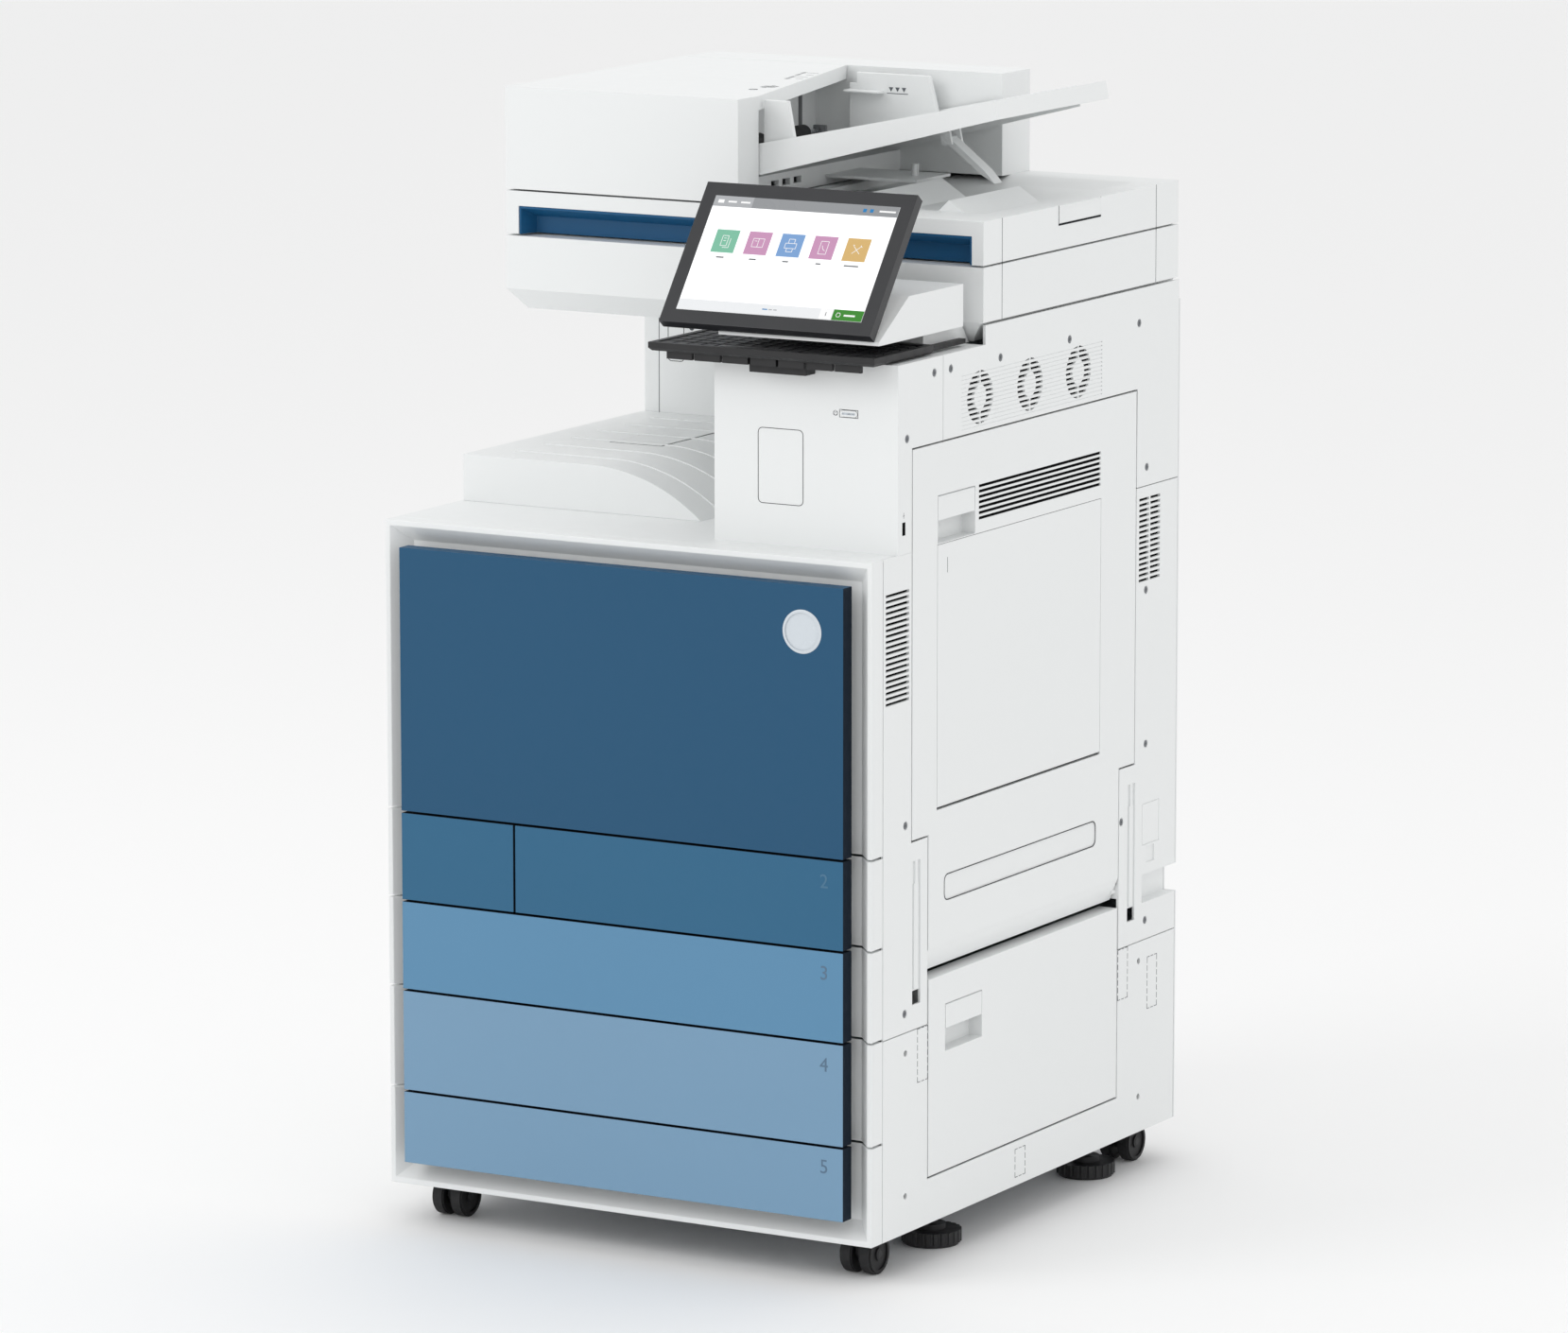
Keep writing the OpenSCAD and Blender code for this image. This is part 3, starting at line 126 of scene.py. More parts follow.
def moulded_grain():
    """Spark-eroded grain of moulded covers: fine bumps, uneven gloss and a slow drift of tone."""
    group = bpy.data.node_groups.new("moulded_grain", "ShaderNodeTree")
    group_sockets(group, [("Colour", "NodeSocketColor", (0.8, 0.8, 0.8, 1)),
                          ("Grain per metre", "NodeSocketFloat", 1400),
                          ("Gloss low", "NodeSocketFloat", 0.4), ("Gloss high", "NodeSocketFloat", 0.5),
                          ("Drift", "NodeSocketFloat", 0.03)])
    n, l = group.nodes, group.links
    inp, out = n.new("NodeGroupInput"), n.new("NodeGroupOutput")
    where = n.new("ShaderNodeTexCoord")
    fine = n.new("ShaderNodeTexNoise")
    fine.inputs["Detail"].default_value = 3
    fine.inputs["Roughness"].default_value = 0.6
    l.new(where.outputs["Object"], fine.inputs["Vector"])
    l.new(inp.outputs["Grain per metre"], fine.inputs["Scale"])
    broad = n.new("ShaderNodeTexNoise")
    broad.inputs["Scale"].default_value = 3.5
    broad.inputs["Detail"].default_value = 4
    l.new(where.outputs["Object"], broad.inputs["Vector"])
    patch = n.new("ShaderNodeTexNoise")
    patch.inputs["Scale"].default_value = 60
    patch.inputs["Detail"].default_value = 5
    l.new(where.outputs["Object"], patch.inputs["Vector"])
    gloss = n.new("ShaderNodeMapRange")
    l.new(patch.outputs["Fac"], gloss.inputs["Value"])
    gloss.inputs["From Min"].default_value = 0.3
    gloss.inputs["From Max"].default_value = 0.7
    l.new(inp.outputs["Gloss low"], gloss.inputs["To Min"])
    l.new(inp.outputs["Gloss high"], gloss.inputs["To Max"])
    centred = n.new("ShaderNodeMath")
    centred.operation = "SUBTRACT"
    l.new(broad.outputs["Fac"], centred.inputs[0])
    centred.inputs[1].default_value = 0.5
    drift = n.new("ShaderNodeMath")
    drift.operation = "MULTIPLY_ADD"
    l.new(centred.outputs[0], drift.inputs[0])
    l.new(inp.outputs["Drift"], drift.inputs[1])
    drift.inputs[2].default_value = 1
    tone = n.new("ShaderNodeHueSaturation")
    l.new(inp.outputs["Colour"], tone.inputs["Color"])
    l.new(drift.outputs[0], tone.inputs["Value"])
    l.new(tone.outputs["Color"], out.inputs["Colour"])
    l.new(gloss.outputs["Result"], out.inputs["Roughness"])
    l.new(fine.outputs["Fac"], out.inputs["Height"])
    return group


def drawn_lines():
    """Fine parallel lines along one axis, as on brushed or rolled metal and on the edges of a paper stack."""
    group = bpy.data.node_groups.new("drawn_lines", "ShaderNodeTree")
    group_sockets(group, [("Colour", "NodeSocketColor", (0.6, 0.6, 0.6, 1)),
                          ("Stretch", "NodeSocketVector", (4, 400, 400)),
                          ("Gloss low", "NodeSocketFloat", 0.25), ("Gloss high", "NodeSocketFloat", 0.45),
                          ("Contrast", "NodeSocketFloat", 0.15)])
    n, l = group.nodes, group.links
    inp, out = n.new("NodeGroupInput"), n.new("NodeGroupOutput")
    where = n.new("ShaderNodeTexCoord")
    stretch = n.new("ShaderNodeVectorMath")
    stretch.operation = "MULTIPLY"
    l.new(where.outputs["Object"], stretch.inputs[0])
    l.new(inp.outputs["Stretch"], stretch.inputs[1])
    lines = n.new("ShaderNodeTexNoise")
    lines.inputs["Scale"].default_value = 1
    lines.inputs["Detail"].default_value = 4
    l.new(stretch.outputs["Vector"], lines.inputs["Vector"])
    gloss = n.new("ShaderNodeMapRange")
    l.new(lines.outputs["Fac"], gloss.inputs["Value"])
    l.new(inp.outputs["Gloss low"], gloss.inputs["To Min"])
    l.new(inp.outputs["Gloss high"], gloss.inputs["To Max"])
    centred = n.new("ShaderNodeMath")
    centred.operation = "SUBTRACT"
    l.new(lines.outputs["Fac"], centred.inputs[0])
    centred.inputs[1].default_value = 0.5
    spread = n.new("ShaderNodeMath")
    spread.operation = "MULTIPLY_ADD"
    l.new(centred.outputs[0], spread.inputs[0])
    l.new(inp.outputs["Contrast"], spread.inputs[1])
    spread.inputs[2].default_value = 1
    tone = n.new("ShaderNodeHueSaturation")
    l.new(inp.outputs["Colour"], tone.inputs["Color"])
    l.new(spread.outputs[0], tone.inputs["Value"])
    l.new(tone.outputs["Color"], out.inputs["Colour"])
    l.new(gloss.outputs["Result"], out.inputs["Roughness"])
    l.new(lines.outputs["Fac"], out.inputs["Height"])
    return group


grain_group = moulded_grain()
lines_group = drawn_lines()


def surfaced(name, group, values, bump=0.05, distance=0.0002, **sockets):
    """A material whose colour, roughness and bump come from one of the groups."""
    material = bpy.data.materials.new(name)
    material.use_nodes = True
    n, l = material.node_tree.nodes, material.node_tree.links
    shader = n["Principled BSDF"]
    effect = n.new("ShaderNodeGroup")
    effect.node_tree = group
    effect.name = group.name
    for key, value in values.items():
        effect.inputs[key].default_value = value
    l.new(effect.outputs["Colour"], shader.inputs["Base Color"])
    l.new(effect.outputs["Roughness"], shader.inputs["Roughness"])
    relief = n.new("ShaderNodeBump")
    relief.inputs["Strength"].default_value = bump
    relief.inputs["Distance"].default_value = distance
    l.new(effect.outputs["Height"], relief.inputs["Height"])
    l.new(relief.outputs["Normal"], shader.inputs["Normal"])
    for key, value in sockets.items():
        shader.inputs[key.replace("_", " ")].default_value = value
    return material


def plastic(name, colour, low=0.38, high=0.5, grain=1500, drift=0.03, bump=0.12, **sockets):
    values = {"Colour": colour, "Grain per metre": grain, "Gloss low": low, "Gloss high": high, "Drift": drift}
    return surfaced(name, grain_group, values, bump, **sockets)


def metal(name, colour, stretch, low=0.25, high=0.42, contrast=0.2, bump=0.05):
    values = {"Colour": colour, "Stretch": stretch, "Gloss low": low, "Gloss high": high, "Contrast": contrast}
    return surfaced(name, lines_group, values, bump, Metallic=1.0)


def painted(name, colour, low=0.42, high=0.52):
    """The coloured covers: a soft sheen, and little of it, so the colour stays deep."""
    return plastic(name, colour, low, high, drift=0.04, Specular_IOR_Level=0.3)


finish = {
    "off_white_plastic": plastic("off_white_plastic", srgb(233, 235, 235), drift=0.02),
    "shade_grey": plastic("shade_grey", srgb(120, 122, 124), 0.5, 0.62),
    "black_plastic": plastic("black_plastic", srgb(26, 26, 28), 0.42, 0.58, bump=0.25),
    "bezel_black": plastic("bezel_black", srgb(38, 39, 42), 0.28, 0.36, bump=0.03),
    "key_black": plastic("key_black", srgb(34, 34, 37), 0.45, 0.55),
    "blue_darkest": painted("blue_darkest", srgb(29, 80, 114)),
    "blue_dark": painted("blue_dark", srgb(45, 99, 133)),
    "blue_mid": painted("blue_mid", srgb(92, 139, 173)),
    "blue_light": painted("blue_light", srgb(119, 154, 182)),
    "recess_blue": painted("recess_blue", srgb(22, 84, 126), 0.3, 0.4),
    "digit_blue": plastic("digit_blue", srgb(84, 112, 136), 0.4, 0.5),
    "digit_blue_dark": plastic("digit_blue_dark", srgb(66, 112, 142), 0.4, 0.5),
    "badge_white": plastic("badge_white", srgb(206, 213, 219), 0.22, 0.3),
    "zinc_steel": metal("zinc_steel", srgb(176, 180, 184), (6, 260, 6)),
    "bright_steel": metal("bright_steel", srgb(205, 207, 210), (900, 900, 900), 0.2, 0.35),
    "screw_steel": metal("screw_steel", srgb(128, 131, 135), (900, 900, 900), 0.3, 0.45),
    "cartridge_plastic": plastic("cartridge_plastic", srgb(50, 53, 60), 0.35, 0.5),
    "belt_black": plastic("belt_black", srgb(16, 16, 19), 0.08, 0.16, bump=0.01),
    "roller_rubber": plastic("roller_rubber", srgb(128, 66, 34), 0.55, 0.7),
    "wheel_tread": plastic("wheel_tread", srgb(24, 24, 26), 0.55, 0.7, grain=700, bump=0.3),
    "foam_white": plastic("foam_white", srgb(240, 240, 238), 0.8, 0.95, grain=500, bump=0.4),
    "pad_cork": plastic("pad_cork", srgb(70, 62, 52), 0.8, 0.95, grain=300, bump=0.5),
    "paper": surfaced("paper", lines_group, {"Colour": srgb(246, 245, 240), "Stretch": (3, 3, 3200),
                                             "Gloss low": 0.75, "Gloss high": 0.9, "Contrast": 0.25}, 0.25),
    "ink_grey": plastic("ink_grey", srgb(92, 95, 99), 0.6, 0.7, Specular_IOR_Level=0.2),
    # painted shade: near-black strips laid into the gaps and grooves round flaps, buttons, tabs and outlines
    "gap_shade_dark": plastic("gap_shade_dark", srgb(38, 40, 43), 0.8, 0.9, Specular_IOR_Level=0.1),
    # black of the sockets, and painted shade on the plates behind the vent slots
    "socket_black_vent_shade": plastic("socket_black_vent_shade", srgb(10, 10, 11), 0.9, 0.95, Specular_IOR_Level=0.05),
    # painted shade for the side faces of the blue panels
    "panel_side_shade": plastic("panel_side_shade", srgb(26, 36, 48), 0.7, 0.85, Specular_IOR_Level=0.15),
}


def clear_glass():
    material = bpy.data.materials.new("platen_glass")
    material.use_nodes = True
    shader = material.node_tree.nodes["Principled BSDF"]
    shader.inputs["Base Color"].default_value = srgb(215, 228, 225)
    shader.inputs["Transmission Weight"].default_value = 1
    shader.inputs["Roughness"].default_value = 0.02
    shader.inputs["IOR"].default_value = 1.5
    return material


def lit_panel(name, colour, glow=0.5):
    """Backlit part of the display, evenly lit."""
    colour = tuple(c * 0.68 for c in colour[:3]) + (1,)
    material = plastic(name, colour, 0.25, 0.32, grain=3000, drift=0.01, bump=0.01, Specular_IOR_Level=0.2)
    shader = material.node_tree.nodes["Principled BSDF"]
    effect = material.node_tree.nodes["moulded_grain"]
    material.node_tree.links.new(effect.outputs["Colour"], shader.inputs["Emission Color"])
    shader.inputs["Emission Strength"].default_value = glow
    return material


finish["platen_glass"] = clear_glass()
finish["screen"] = lit_panel("screen", srgb(252, 253, 254), 0.8)
screen_colours = {"bar_grey": (150, 152, 155), "tab_grey": (176, 178, 181), "foot_grey": (236, 238, 240),
                  "tile_green": (128, 192, 164), "tile_pink": (202, 150, 186), "tile_blue": (126, 164, 212),
                  "tile_amber": (216, 180, 116), "button_green": (62, 138, 50), "mark_white": (252, 252, 252),
                  "mark_grey": (110, 112, 115), "mark_blue": (45, 130, 190)}
for key, rgb in screen_colours.items():
    finish[key] = lit_panel(key, srgb(*rgb), 0.4)
toner_colours = {"toner_black": (35, 35, 38), "toner_cyan": (20, 140, 190), "toner_magenta": (190, 40, 110),
                 "toner_yellow": (230, 190, 30)}
for key, rgb in toner_colours.items():
    finish[key] = plastic(key, srgb(*rgb), 0.35, 0.45)


# ---------- making pieces ----------

def pick(obj):
    bpy.ops.object.select_all(action="DESELECT")
    obj.select_set(True)
    bpy.context.view_layer.objects.active = obj


def edit_edges(obj, wanted):
    """Goes into edit mode with the edges for which wanted(edge) is true selected, and leaves it there."""
    pick(obj)
    bpy.ops.object.mode_set(mode="EDIT")
    bpy.ops.mesh.select_mode(type="EDGE")
    bpy.ops.mesh.select_all(action="DESELECT")
    mesh = bmesh.from_edit_mesh(obj.data)
    for edge in mesh.edges:
        edge.select = bool(wanted(edge))
    bmesh.update_edit_mesh(obj.data)


def edit_faces(obj, wanted):
    """The same with the faces for which wanted(face) is true."""
    pick(obj)
    bpy.ops.object.mode_set(mode="EDIT")
    bpy.ops.mesh.select_mode(type="FACE")
    bpy.ops.mesh.select_all(action="DESELECT")
    mesh = bmesh.from_edit_mesh(obj.data)
    for face in mesh.faces:
        face.select = bool(wanted(face))
    bmesh.update_edit_mesh(obj.data)


def leave_edit():
    bpy.ops.object.mode_set(mode="OBJECT")


def hand_over(obj, name, body, material):
    """Names a finished piece, gives it its finish and lets it ride on its body."""
    pick(obj)
    bpy.ops.object.transform_apply(location=True, rotation=True, scale=True)
    bpy.ops.object.shade_smooth_by_angle(angle=math.radians(35))
    obj.name = name
    obj.data.name = name
    obj.data.materials.clear()
    obj.data.materials.append(finish[material])
    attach(obj, body)
    return obj


def slab(low, high, rounding=0.4, segments=2):
    """A box between two points in metres with its edges rounded, rounding in millimetres."""
    low, high = Vector(low), Vector(high)
    bpy.ops.object.select_all(action="DESELECT")
    bpy.ops.mesh.primitive_cube_add(size=1, location=(low + high) / 2, scale=high - low)
    obj = bpy.context.active_object
    bpy.ops.object.transform_apply(location=True, rotation=True, scale=True)
    if rounding:
        edit_edges(obj, lambda e: True)
        offset = min(rounding * MM, min(high - low) * 0.45)
        bpy.ops.mesh.bevel(offset=offset, segments=segments, affect="EDGES")
        leave_edit()
    return obj


def drum(start, end, radius, chamfer=0.6, sides=48):
    """A rod between two points, its rims chamfered; radius and chamfer in millimetres."""
    start, end = Vector(start), Vector(end)
    bpy.ops.object.select_all(action="DESELECT")
    bpy.ops.mesh.primitive_cylinder_add(vertices=sides, radius=radius * MM, depth=(end - start).length)
    obj = bpy.context.active_object
    edit_edges(obj, lambda e: any(len(f.verts) > 4 for f in e.link_faces))
    bpy.ops.mesh.bevel(offset=chamfer * MM, segments=2, affect="EDGES")
    leave_edit()
    turn = (end - start).to_track_quat("Z", "Y").to_matrix().to_4x4()
    obj.data.transform(Matrix.Translation((start + end) / 2) @ turn)
    return obj


def joined(parts):
    bpy.ops.object.select_all(action="DESELECT")
    for part in parts:
        part.select_set(True)
    bpy.context.view_layer.objects.active = parts[0]
    if len(parts) > 1:
        bpy.ops.object.join()
    return bpy.context.active_object


def copied(obj, moves):
    """The piece itself and one copy with its own mesh for each move."""
    made = [obj]
    for move in moves:
        pick(obj)
        bpy.ops.object.duplicate()
        twin = bpy.context.active_object
        twin.data.transform(Matrix.Translation(move))
        made.append(twin)
    return made


def outline(low, high, width, across, dash=None, gap=3):
    """Thin bars round a rectangle that is flat along one axis; sizes in millimetres, corners in metres."""
    low, high = Vector(low), Vector(high)
    u, v = [i for i in range(3) if i != across]
    bars = []
    for along, other in ((u, v), (v, u)):
        for edge in (low[other], high[other] - width * MM):
            length = high[along] - low[along]
            step = dash * MM if dash else length
            pos = 0.0
            while pos < length - 1e-6:
                a, b = Vector(low), Vector(high)
                a[along] = low[along] + pos
                b[along] = min(a[along] + step, high[along])
                a[other], b[other] = edge, edge + width * MM
                bars.append(slab(a, b, 0))
                pos += step + (gap * MM if dash else 0)
    return joined(bars)


# ---------- covers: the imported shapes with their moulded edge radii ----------

def moulding(node, radius, shortest=6, material=None):
    """Stands for a CAD node: its merged copy with every long sharp edge rounded; sizes in millimetres."""
    source = nodes[node]
    pick(source)
    bpy.ops.object.duplicate()
    obj = bpy.context.active_object
    obj.parent = None
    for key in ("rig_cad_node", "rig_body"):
        if key in obj:
            del obj[key]
    bpy.ops.object.mode_set(mode="EDIT")
    bpy.ops.mesh.select_all(action="SELECT")
    bpy.ops.mesh.remove_doubles(threshold=1e-5)
    bpy.ops.mesh.dissolve_limited(angle_limit=math.radians(0.5), use_dissolve_boundaries=False)
    leave_edit()

    def long_and_sharp(edge):
        if len(edge.link_faces) != 2 or edge.calc_length() < shortest * MM:
            return False
        return edge.calc_face_angle(0) > math.radians(25)
    edit_edges(obj, long_and_sharp)
    bpy.ops.mesh.bevel(offset=radius * MM, segments=2, affect="EDGES", clamp_overlap=True, miter_outer="ARC")
    leave_edit()
    slot = slots_of[node]
    hand_over(obj, node + "_moulding", bodies_of[node], material or slot)
    weighted = obj.modifiers.new("flat_faces", "WEIGHTED_NORMAL")
    weighted.keep_sharp = True
    weighted.weight = 100
    pick(obj)
    bpy.ops.object.modifier_apply(modifier=weighted.name)
    # The blue panels' side faces get a dark painted shade; the door panel's top keeps its blue, as if lit from
    # above.
    if node.endswith("_panel"):
        obj.data.materials.append(finish["panel_side_shade"])
        lit_top = node == "door_panel"
        for polygon in obj.data.polygons:
            facing = polygon.normal
            polygon.material_index = 0 if facing.y < -0.6 or (lit_top and facing.z > 0.6) else 1
    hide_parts(node)
    return obj


rounded_nodes = {
    "door_frame": 0.8, "door_panel": 0.5, "tray_2_bin": 0.6, "tray_3_bin": 0.6, "tray_4_bin": 0.6,
    "tray_5_bin": 0.8, "tray_2_panel": 0.5, "tray_3_panel": 0.5, "tray_4_panel": 0.5, "tray_5_panel": 0.5,
    "waste_toner_box": 0.6, "waste_toner_panel": 0.5, "left_cover": 0.5, "rear_cover": 0.5,
    "cabinet_side_cover": 0.4,
    "right_front_cover": 0.3, "right_rear_cover": 0.3, "right_upper_cover": 0.3, "column_cover": 0.8,
    "top_deck": 0.8, "rear_tower": 1.5, "display_base": 1.2, "scanner_base": 0.8, "lid": 1.0,
    "lid_handle": 0.6, "feeder_body": 1.5, "feeder_cover": 1.6, "input_tray": 0.7, "front_guide": 0.7,
    "rear_guide": 0.7, "tray_prop": 0.5, "display_case": 1.0, "keyboard": 0.7, "right_door": 0.5,
    "bypass_tray": 0.4, "lower_door": 0.5, "right_door_handle": 0.5, "lower_door_handle": 0.5,
    "power_button": 0.3, "exit_tray": 1.2, "power_inlet": 0.5,
}
for node, radius in rounded_nodes.items():
    moulding(node, radius, material="recess_blue" if node == "lid_handle" else None)

for node, obj in nodes.items():
    if node not in rounded_nodes:
        obj.data.materials.clear()
        obj.data.materials.append(finish["screw_steel" if node == "cover_screws" else slots_of[node]])


# ---------- digits and badge on the front ----------

def digit(text, height, material, body, place):
    """A raised numeral on a panel, its lower left corner at place."""
    bpy.ops.object.select_all(action="DESELECT")
    bpy.ops.object.text_add()
    obj = bpy.context.active_object
    obj.data.body = text
    obj.data.size = height * MM * 1.38
    obj.data.extrude = 0.00012
    bpy.ops.object.convert(target="MESH")
    obj = bpy.context.active_object
    obj.data.transform(Matrix.Translation(place) @ Matrix.Rotation(math.radians(90), 4, "X"))
    pick(obj)
    bpy.ops.object.mode_set(mode="EDIT")
    bpy.ops.mesh.select_all(action="SELECT")
    bpy.ops.mesh.remove_doubles(threshold=1e-6)
    bpy.ops.mesh.normals_make_consistent(inside=False)
    leave_edit()
    return hand_over(obj, "numeral_" + text, body, material)


for text, centre_z in (("2", 426), ("3", 330.5), ("4", 234.5), ("5", 127.5)):
    low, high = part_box("tray_%s_panel" % text)
    digit(text, 15, "digit_blue" if text != "2" else "digit_blue_dark", "tray_" + text,
          Vector((x_at(531.5), low.y - 0.00003, z_at(centre_z - 7))))
bypass_low, bypass_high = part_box("bypass_tray")
mark = slab((bypass_high.x - 0.0002, bypass_low.y + 0.0205, bypass_high.z - 0.031),
            (bypass_high.x + 0.0001, bypass_low.y + 0.0212, bypass_high.z - 0.015), 0)
hand_over(mark, "bypass_size_mark", "bypass_tray", "ink_grey")

panel_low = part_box("door_panel")[0]


def badge():
    """Plain round badge with a dished face, let into the door panel."""
    centre = Vector((x_at(511), panel_low.y, z_at(682)))
    obj = drum(centre + Vector((0, -0.0006, 0)), centre + Vector((0, 0.001, 0)), 21, 0.3, 96)
    edit_faces(obj, lambda f: f.normal.y < -0.9)
    bpy.ops.mesh.inset(thickness=0.0016, depth=0)
    bpy.ops.mesh.inset(thickness=0.0006, depth=-0.0004)
    leave_edit()
    return hand_over(obj, "door_badge", "front_door", "badge_white")


badge()


# ---------- front door: inner liner ----------

def door_liner():
    parts = []
    low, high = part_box("door_frame")
    y = high.y
    for i in range(6):
        x = low.x + 0.06 + i * 0.092
        parts.append(slab((x, y - 0.0005, low.z + 0.03), (x + 0.0025, y + 0.0018, high.z - 0.03), 0.3))
    for i in range(4):
        z = low.z + 0.04 + i * 0.072
        parts.append(slab((low.x + 0.05, y - 0.0005, z), (high.x - 0.05, y + 0.0018, z + 0.0025), 0.3))
    return hand_over(joined(parts), "door_liner_ribs", "front_door", "off_white_plastic")


door_liner()


# ---------- behind the front door ----------

def engine_front():
    """Inner cover with a round opening for each toner cartridge, and the coloured cartridge caps."""
    toner_low, toner_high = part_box("toner_cartridges")
    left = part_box("chassis_frame")[0].x + 0.006
    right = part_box("drawer_rails")[1].x - 0.001
    y0, y1 = toner_low.y - 0.007, toner_low.y - 0.003
    shelf = z_at(452)
    top = z_at(744)
    pitch = 98 * MM
    first = toner_low.x + 0.034
    centre_z = toner_high.z - 0.034
    plate = slab((left, y0, shelf), (right, y1, top), 0.5)
    cutters = []
    for i in range(4):
        x = first + i * pitch
        cutters.append(drum((x, y0 - 0.01, centre_z), (x, y1 + 0.01, centre_z), 37, 0.1, 64))
    cutter = joined(cutters)
    cut = plate.modifiers.new("openings", "BOOLEAN")
    cut.operation = "DIFFERENCE"
    cut.object = cutter
    pick(plate)
    bpy.ops.object.modifier_apply(modifier=cut.name)
    bpy.data.objects.remove(cutter)
    hand_over(plate, "engine_inner_cover", "machine", "off_white_plastic")
    for i, colour in enumerate(("toner_yellow", "toner_magenta", "toner_cyan", "toner_black")):
        x = first + i * pitch
        cap = drum((x, toner_low.y + 0.0002, centre_z), (x, toner_low.y - 0.006, centre_z), 31, 1.5, 64)
        edit_faces(cap, lambda f: f.normal.y < -0.9)
        bpy.ops.mesh.inset(thickness=0.006, depth=0)
        bpy.ops.mesh.inset(thickness=0.001, depth=-0.002)
        leave_edit()
        grip = slab((x - 0.0025, toner_low.y - 0.011, centre_z - 0.02),
                    (x + 0.0025, toner_low.y - 0.003, centre_z + 0.02), 1)
        hand_over(joined([cap, grip]), "toner_cap_%d" % (i + 1), "machine", colour)
    knob_x, knob_z = left + 0.41, shelf + 0.042
    lever = joined([slab((left + 0.4, y0 - 0.008, shelf + 0.03), (left + 0.46, y0 - 0.001, shelf + 0.055), 2),
                    drum((knob_x, y0 - 0.001, knob_z), (knob_x, y0 - 0.0085, knob_z), 14, 1)])
    hand_over(lever, "belt_release_lever", "machine", "blue_light")


engine_front()


# ---------- paper, lift plates and guides in the drawers ----------

def drawer_fittings(number, well, share, sheet):
    """Lift plate, paper stack and the two blue side guides of one drawer."""
    low, high = (Vector(p) for p in well)
    body = "tray_%s" % number
    centre = (low + high) / 2
    stack_h = (high.z - low.z) * share
    plate_top = low.z + 0.008
    plate = slab((low.x + 0.004, low.y + 0.004, low.z + 0.002),
                 (high.x - 0.004, high.y - 0.004, plate_top), 0.6)
    edit_faces(plate, lambda f: f.normal.z > 0.9 and f.calc_area() > 0.01)
    bpy.ops.mesh.inset(thickness=0.02, depth=0)
    bpy.ops.mesh.inset(thickness=0.004, depth=-0.0015)
    leave_edit()
    hand_over(plate, "lift_plate_" + number, body, "zinc_steel")
    half = Vector((sheet[0] / 2 * MM, sheet[1] / 2 * MM, 0))
    a = Vector((centre.x, low.y + 0.03 + half.y, 0)) - half
    b = a + 2 * half
    stack = slab((a.x, a.y, plate_top), (b.x, b.y, plate_top + stack_h), 0.3)
    hand_over(stack, "paper_stack_" + number, body, "paper")
    fences = []
    for x, side in ((a.x - 0.0045, -1), (b.x + 0.0015, 1)):
        fences.append(slab((x, a.y + 0.06, plate_top - 0.002), (x + 0.003, b.y - 0.06, high.z - 0.004), 0.6))
        foot = x if side > 0 else x - 0.02
        fences.append(slab((foot, a.y + 0.1, plate_top - 0.001),
                           (foot + 0.023, b.y - 0.1, plate_top + 0.002), 0.5))
    fences.append(slab((centre.x - 0.03, b.y + 0.0015, plate_top - 0.002),
                       (centre.x + 0.03, b.y + 0.0045, high.z - 0.004), 0.6))
    hand_over(joined(fences), "paper_fences_" + number, body, "blue_mid")


wells = {o["name"]: o["box_m"] for o in frame["record"]["physics"]["openings"]}
drawer_fittings("2", wells["tray_2_well"], 0.5, (297, 420))
drawer_fittings("3", wells["tray_3_well"], 0.62, (420, 297))
drawer_fittings("4", wells["tray_4_well"], 0.4, (420, 297))
drawer_fittings("5", wells["tray_5_well"], 0.55, (297, 420))


# ---------- display ----------

screen_node = nodes["display_screen"]


def display_space():
    """Matrix from the screen's own plane (right, away from the user, up) to the row's frame."""
    points = [v.co for v in screen_node.data.vertices]
    low_z = min(p.z for p in points)
    front_low = min((p for p in points if abs(p.z - low_z) < 0.02), key=lambda p: (round(p.y, 5), p.x))
    corner = min((p for p in points if (p - front_low).length < 1e-4 or abs(p.y - front_low.y) < 1e-5),
                 key=lambda p: p.x)
    top = max(points, key=lambda p: p.z)
    up_points = [p for p in points if abs(p.z - top.z) < 1e-5 and p.x - corner.x < 0.01]
    front_top = min(up_points, key=lambda p: p.y)
    up = (front_top - corner).normalized()
    right = Vector((1, 0, 0))
    away = up.cross(right)
    space = Matrix((right, away, up)).transposed().to_4x4()
    space.translation = corner
    size = (max(p.x for p in points) - min(p.x for p in points), (front_top - corner).length)
    return space, size


screen_space, (screen_w, screen_h) = display_space()


def on_screen(parts, name, material):
    obj = joined(parts)
    obj.data.transform(screen_space)
    return hand_over(obj, name, "display", material)


def tile(u0, v0, u1, v1, lift=0.10, depth=0.08):
    """A thin raised area of the screen, in millimetres from its lower left corner."""
    return slab((u0 * MM, -lift * MM, v0 * MM), (u1 * MM, (depth - lift) * MM, v1 * MM), 0)


def stroke(points, width, lift=0.16):
    """A drawn line of short bars through points on the screen."""
    bars = []
    for (u0, v0), (u1, v1) in zip(points, points[1:]):
        length = math.hypot(u1 - u0, v1 - v0)
        bar = slab((0, -lift * MM, -width / 2 * MM), (length * MM, (0.06 - lift) * MM, width / 2 * MM), 0)
        turn = Matrix.Rotation(-math.atan2(v1 - v0, u1 - u0), 4, "Y")
        bar.data.transform(Matrix.Translation((u0 * MM, 0, v0 * MM)) @ turn)
        bars.append(bar)
    return bars


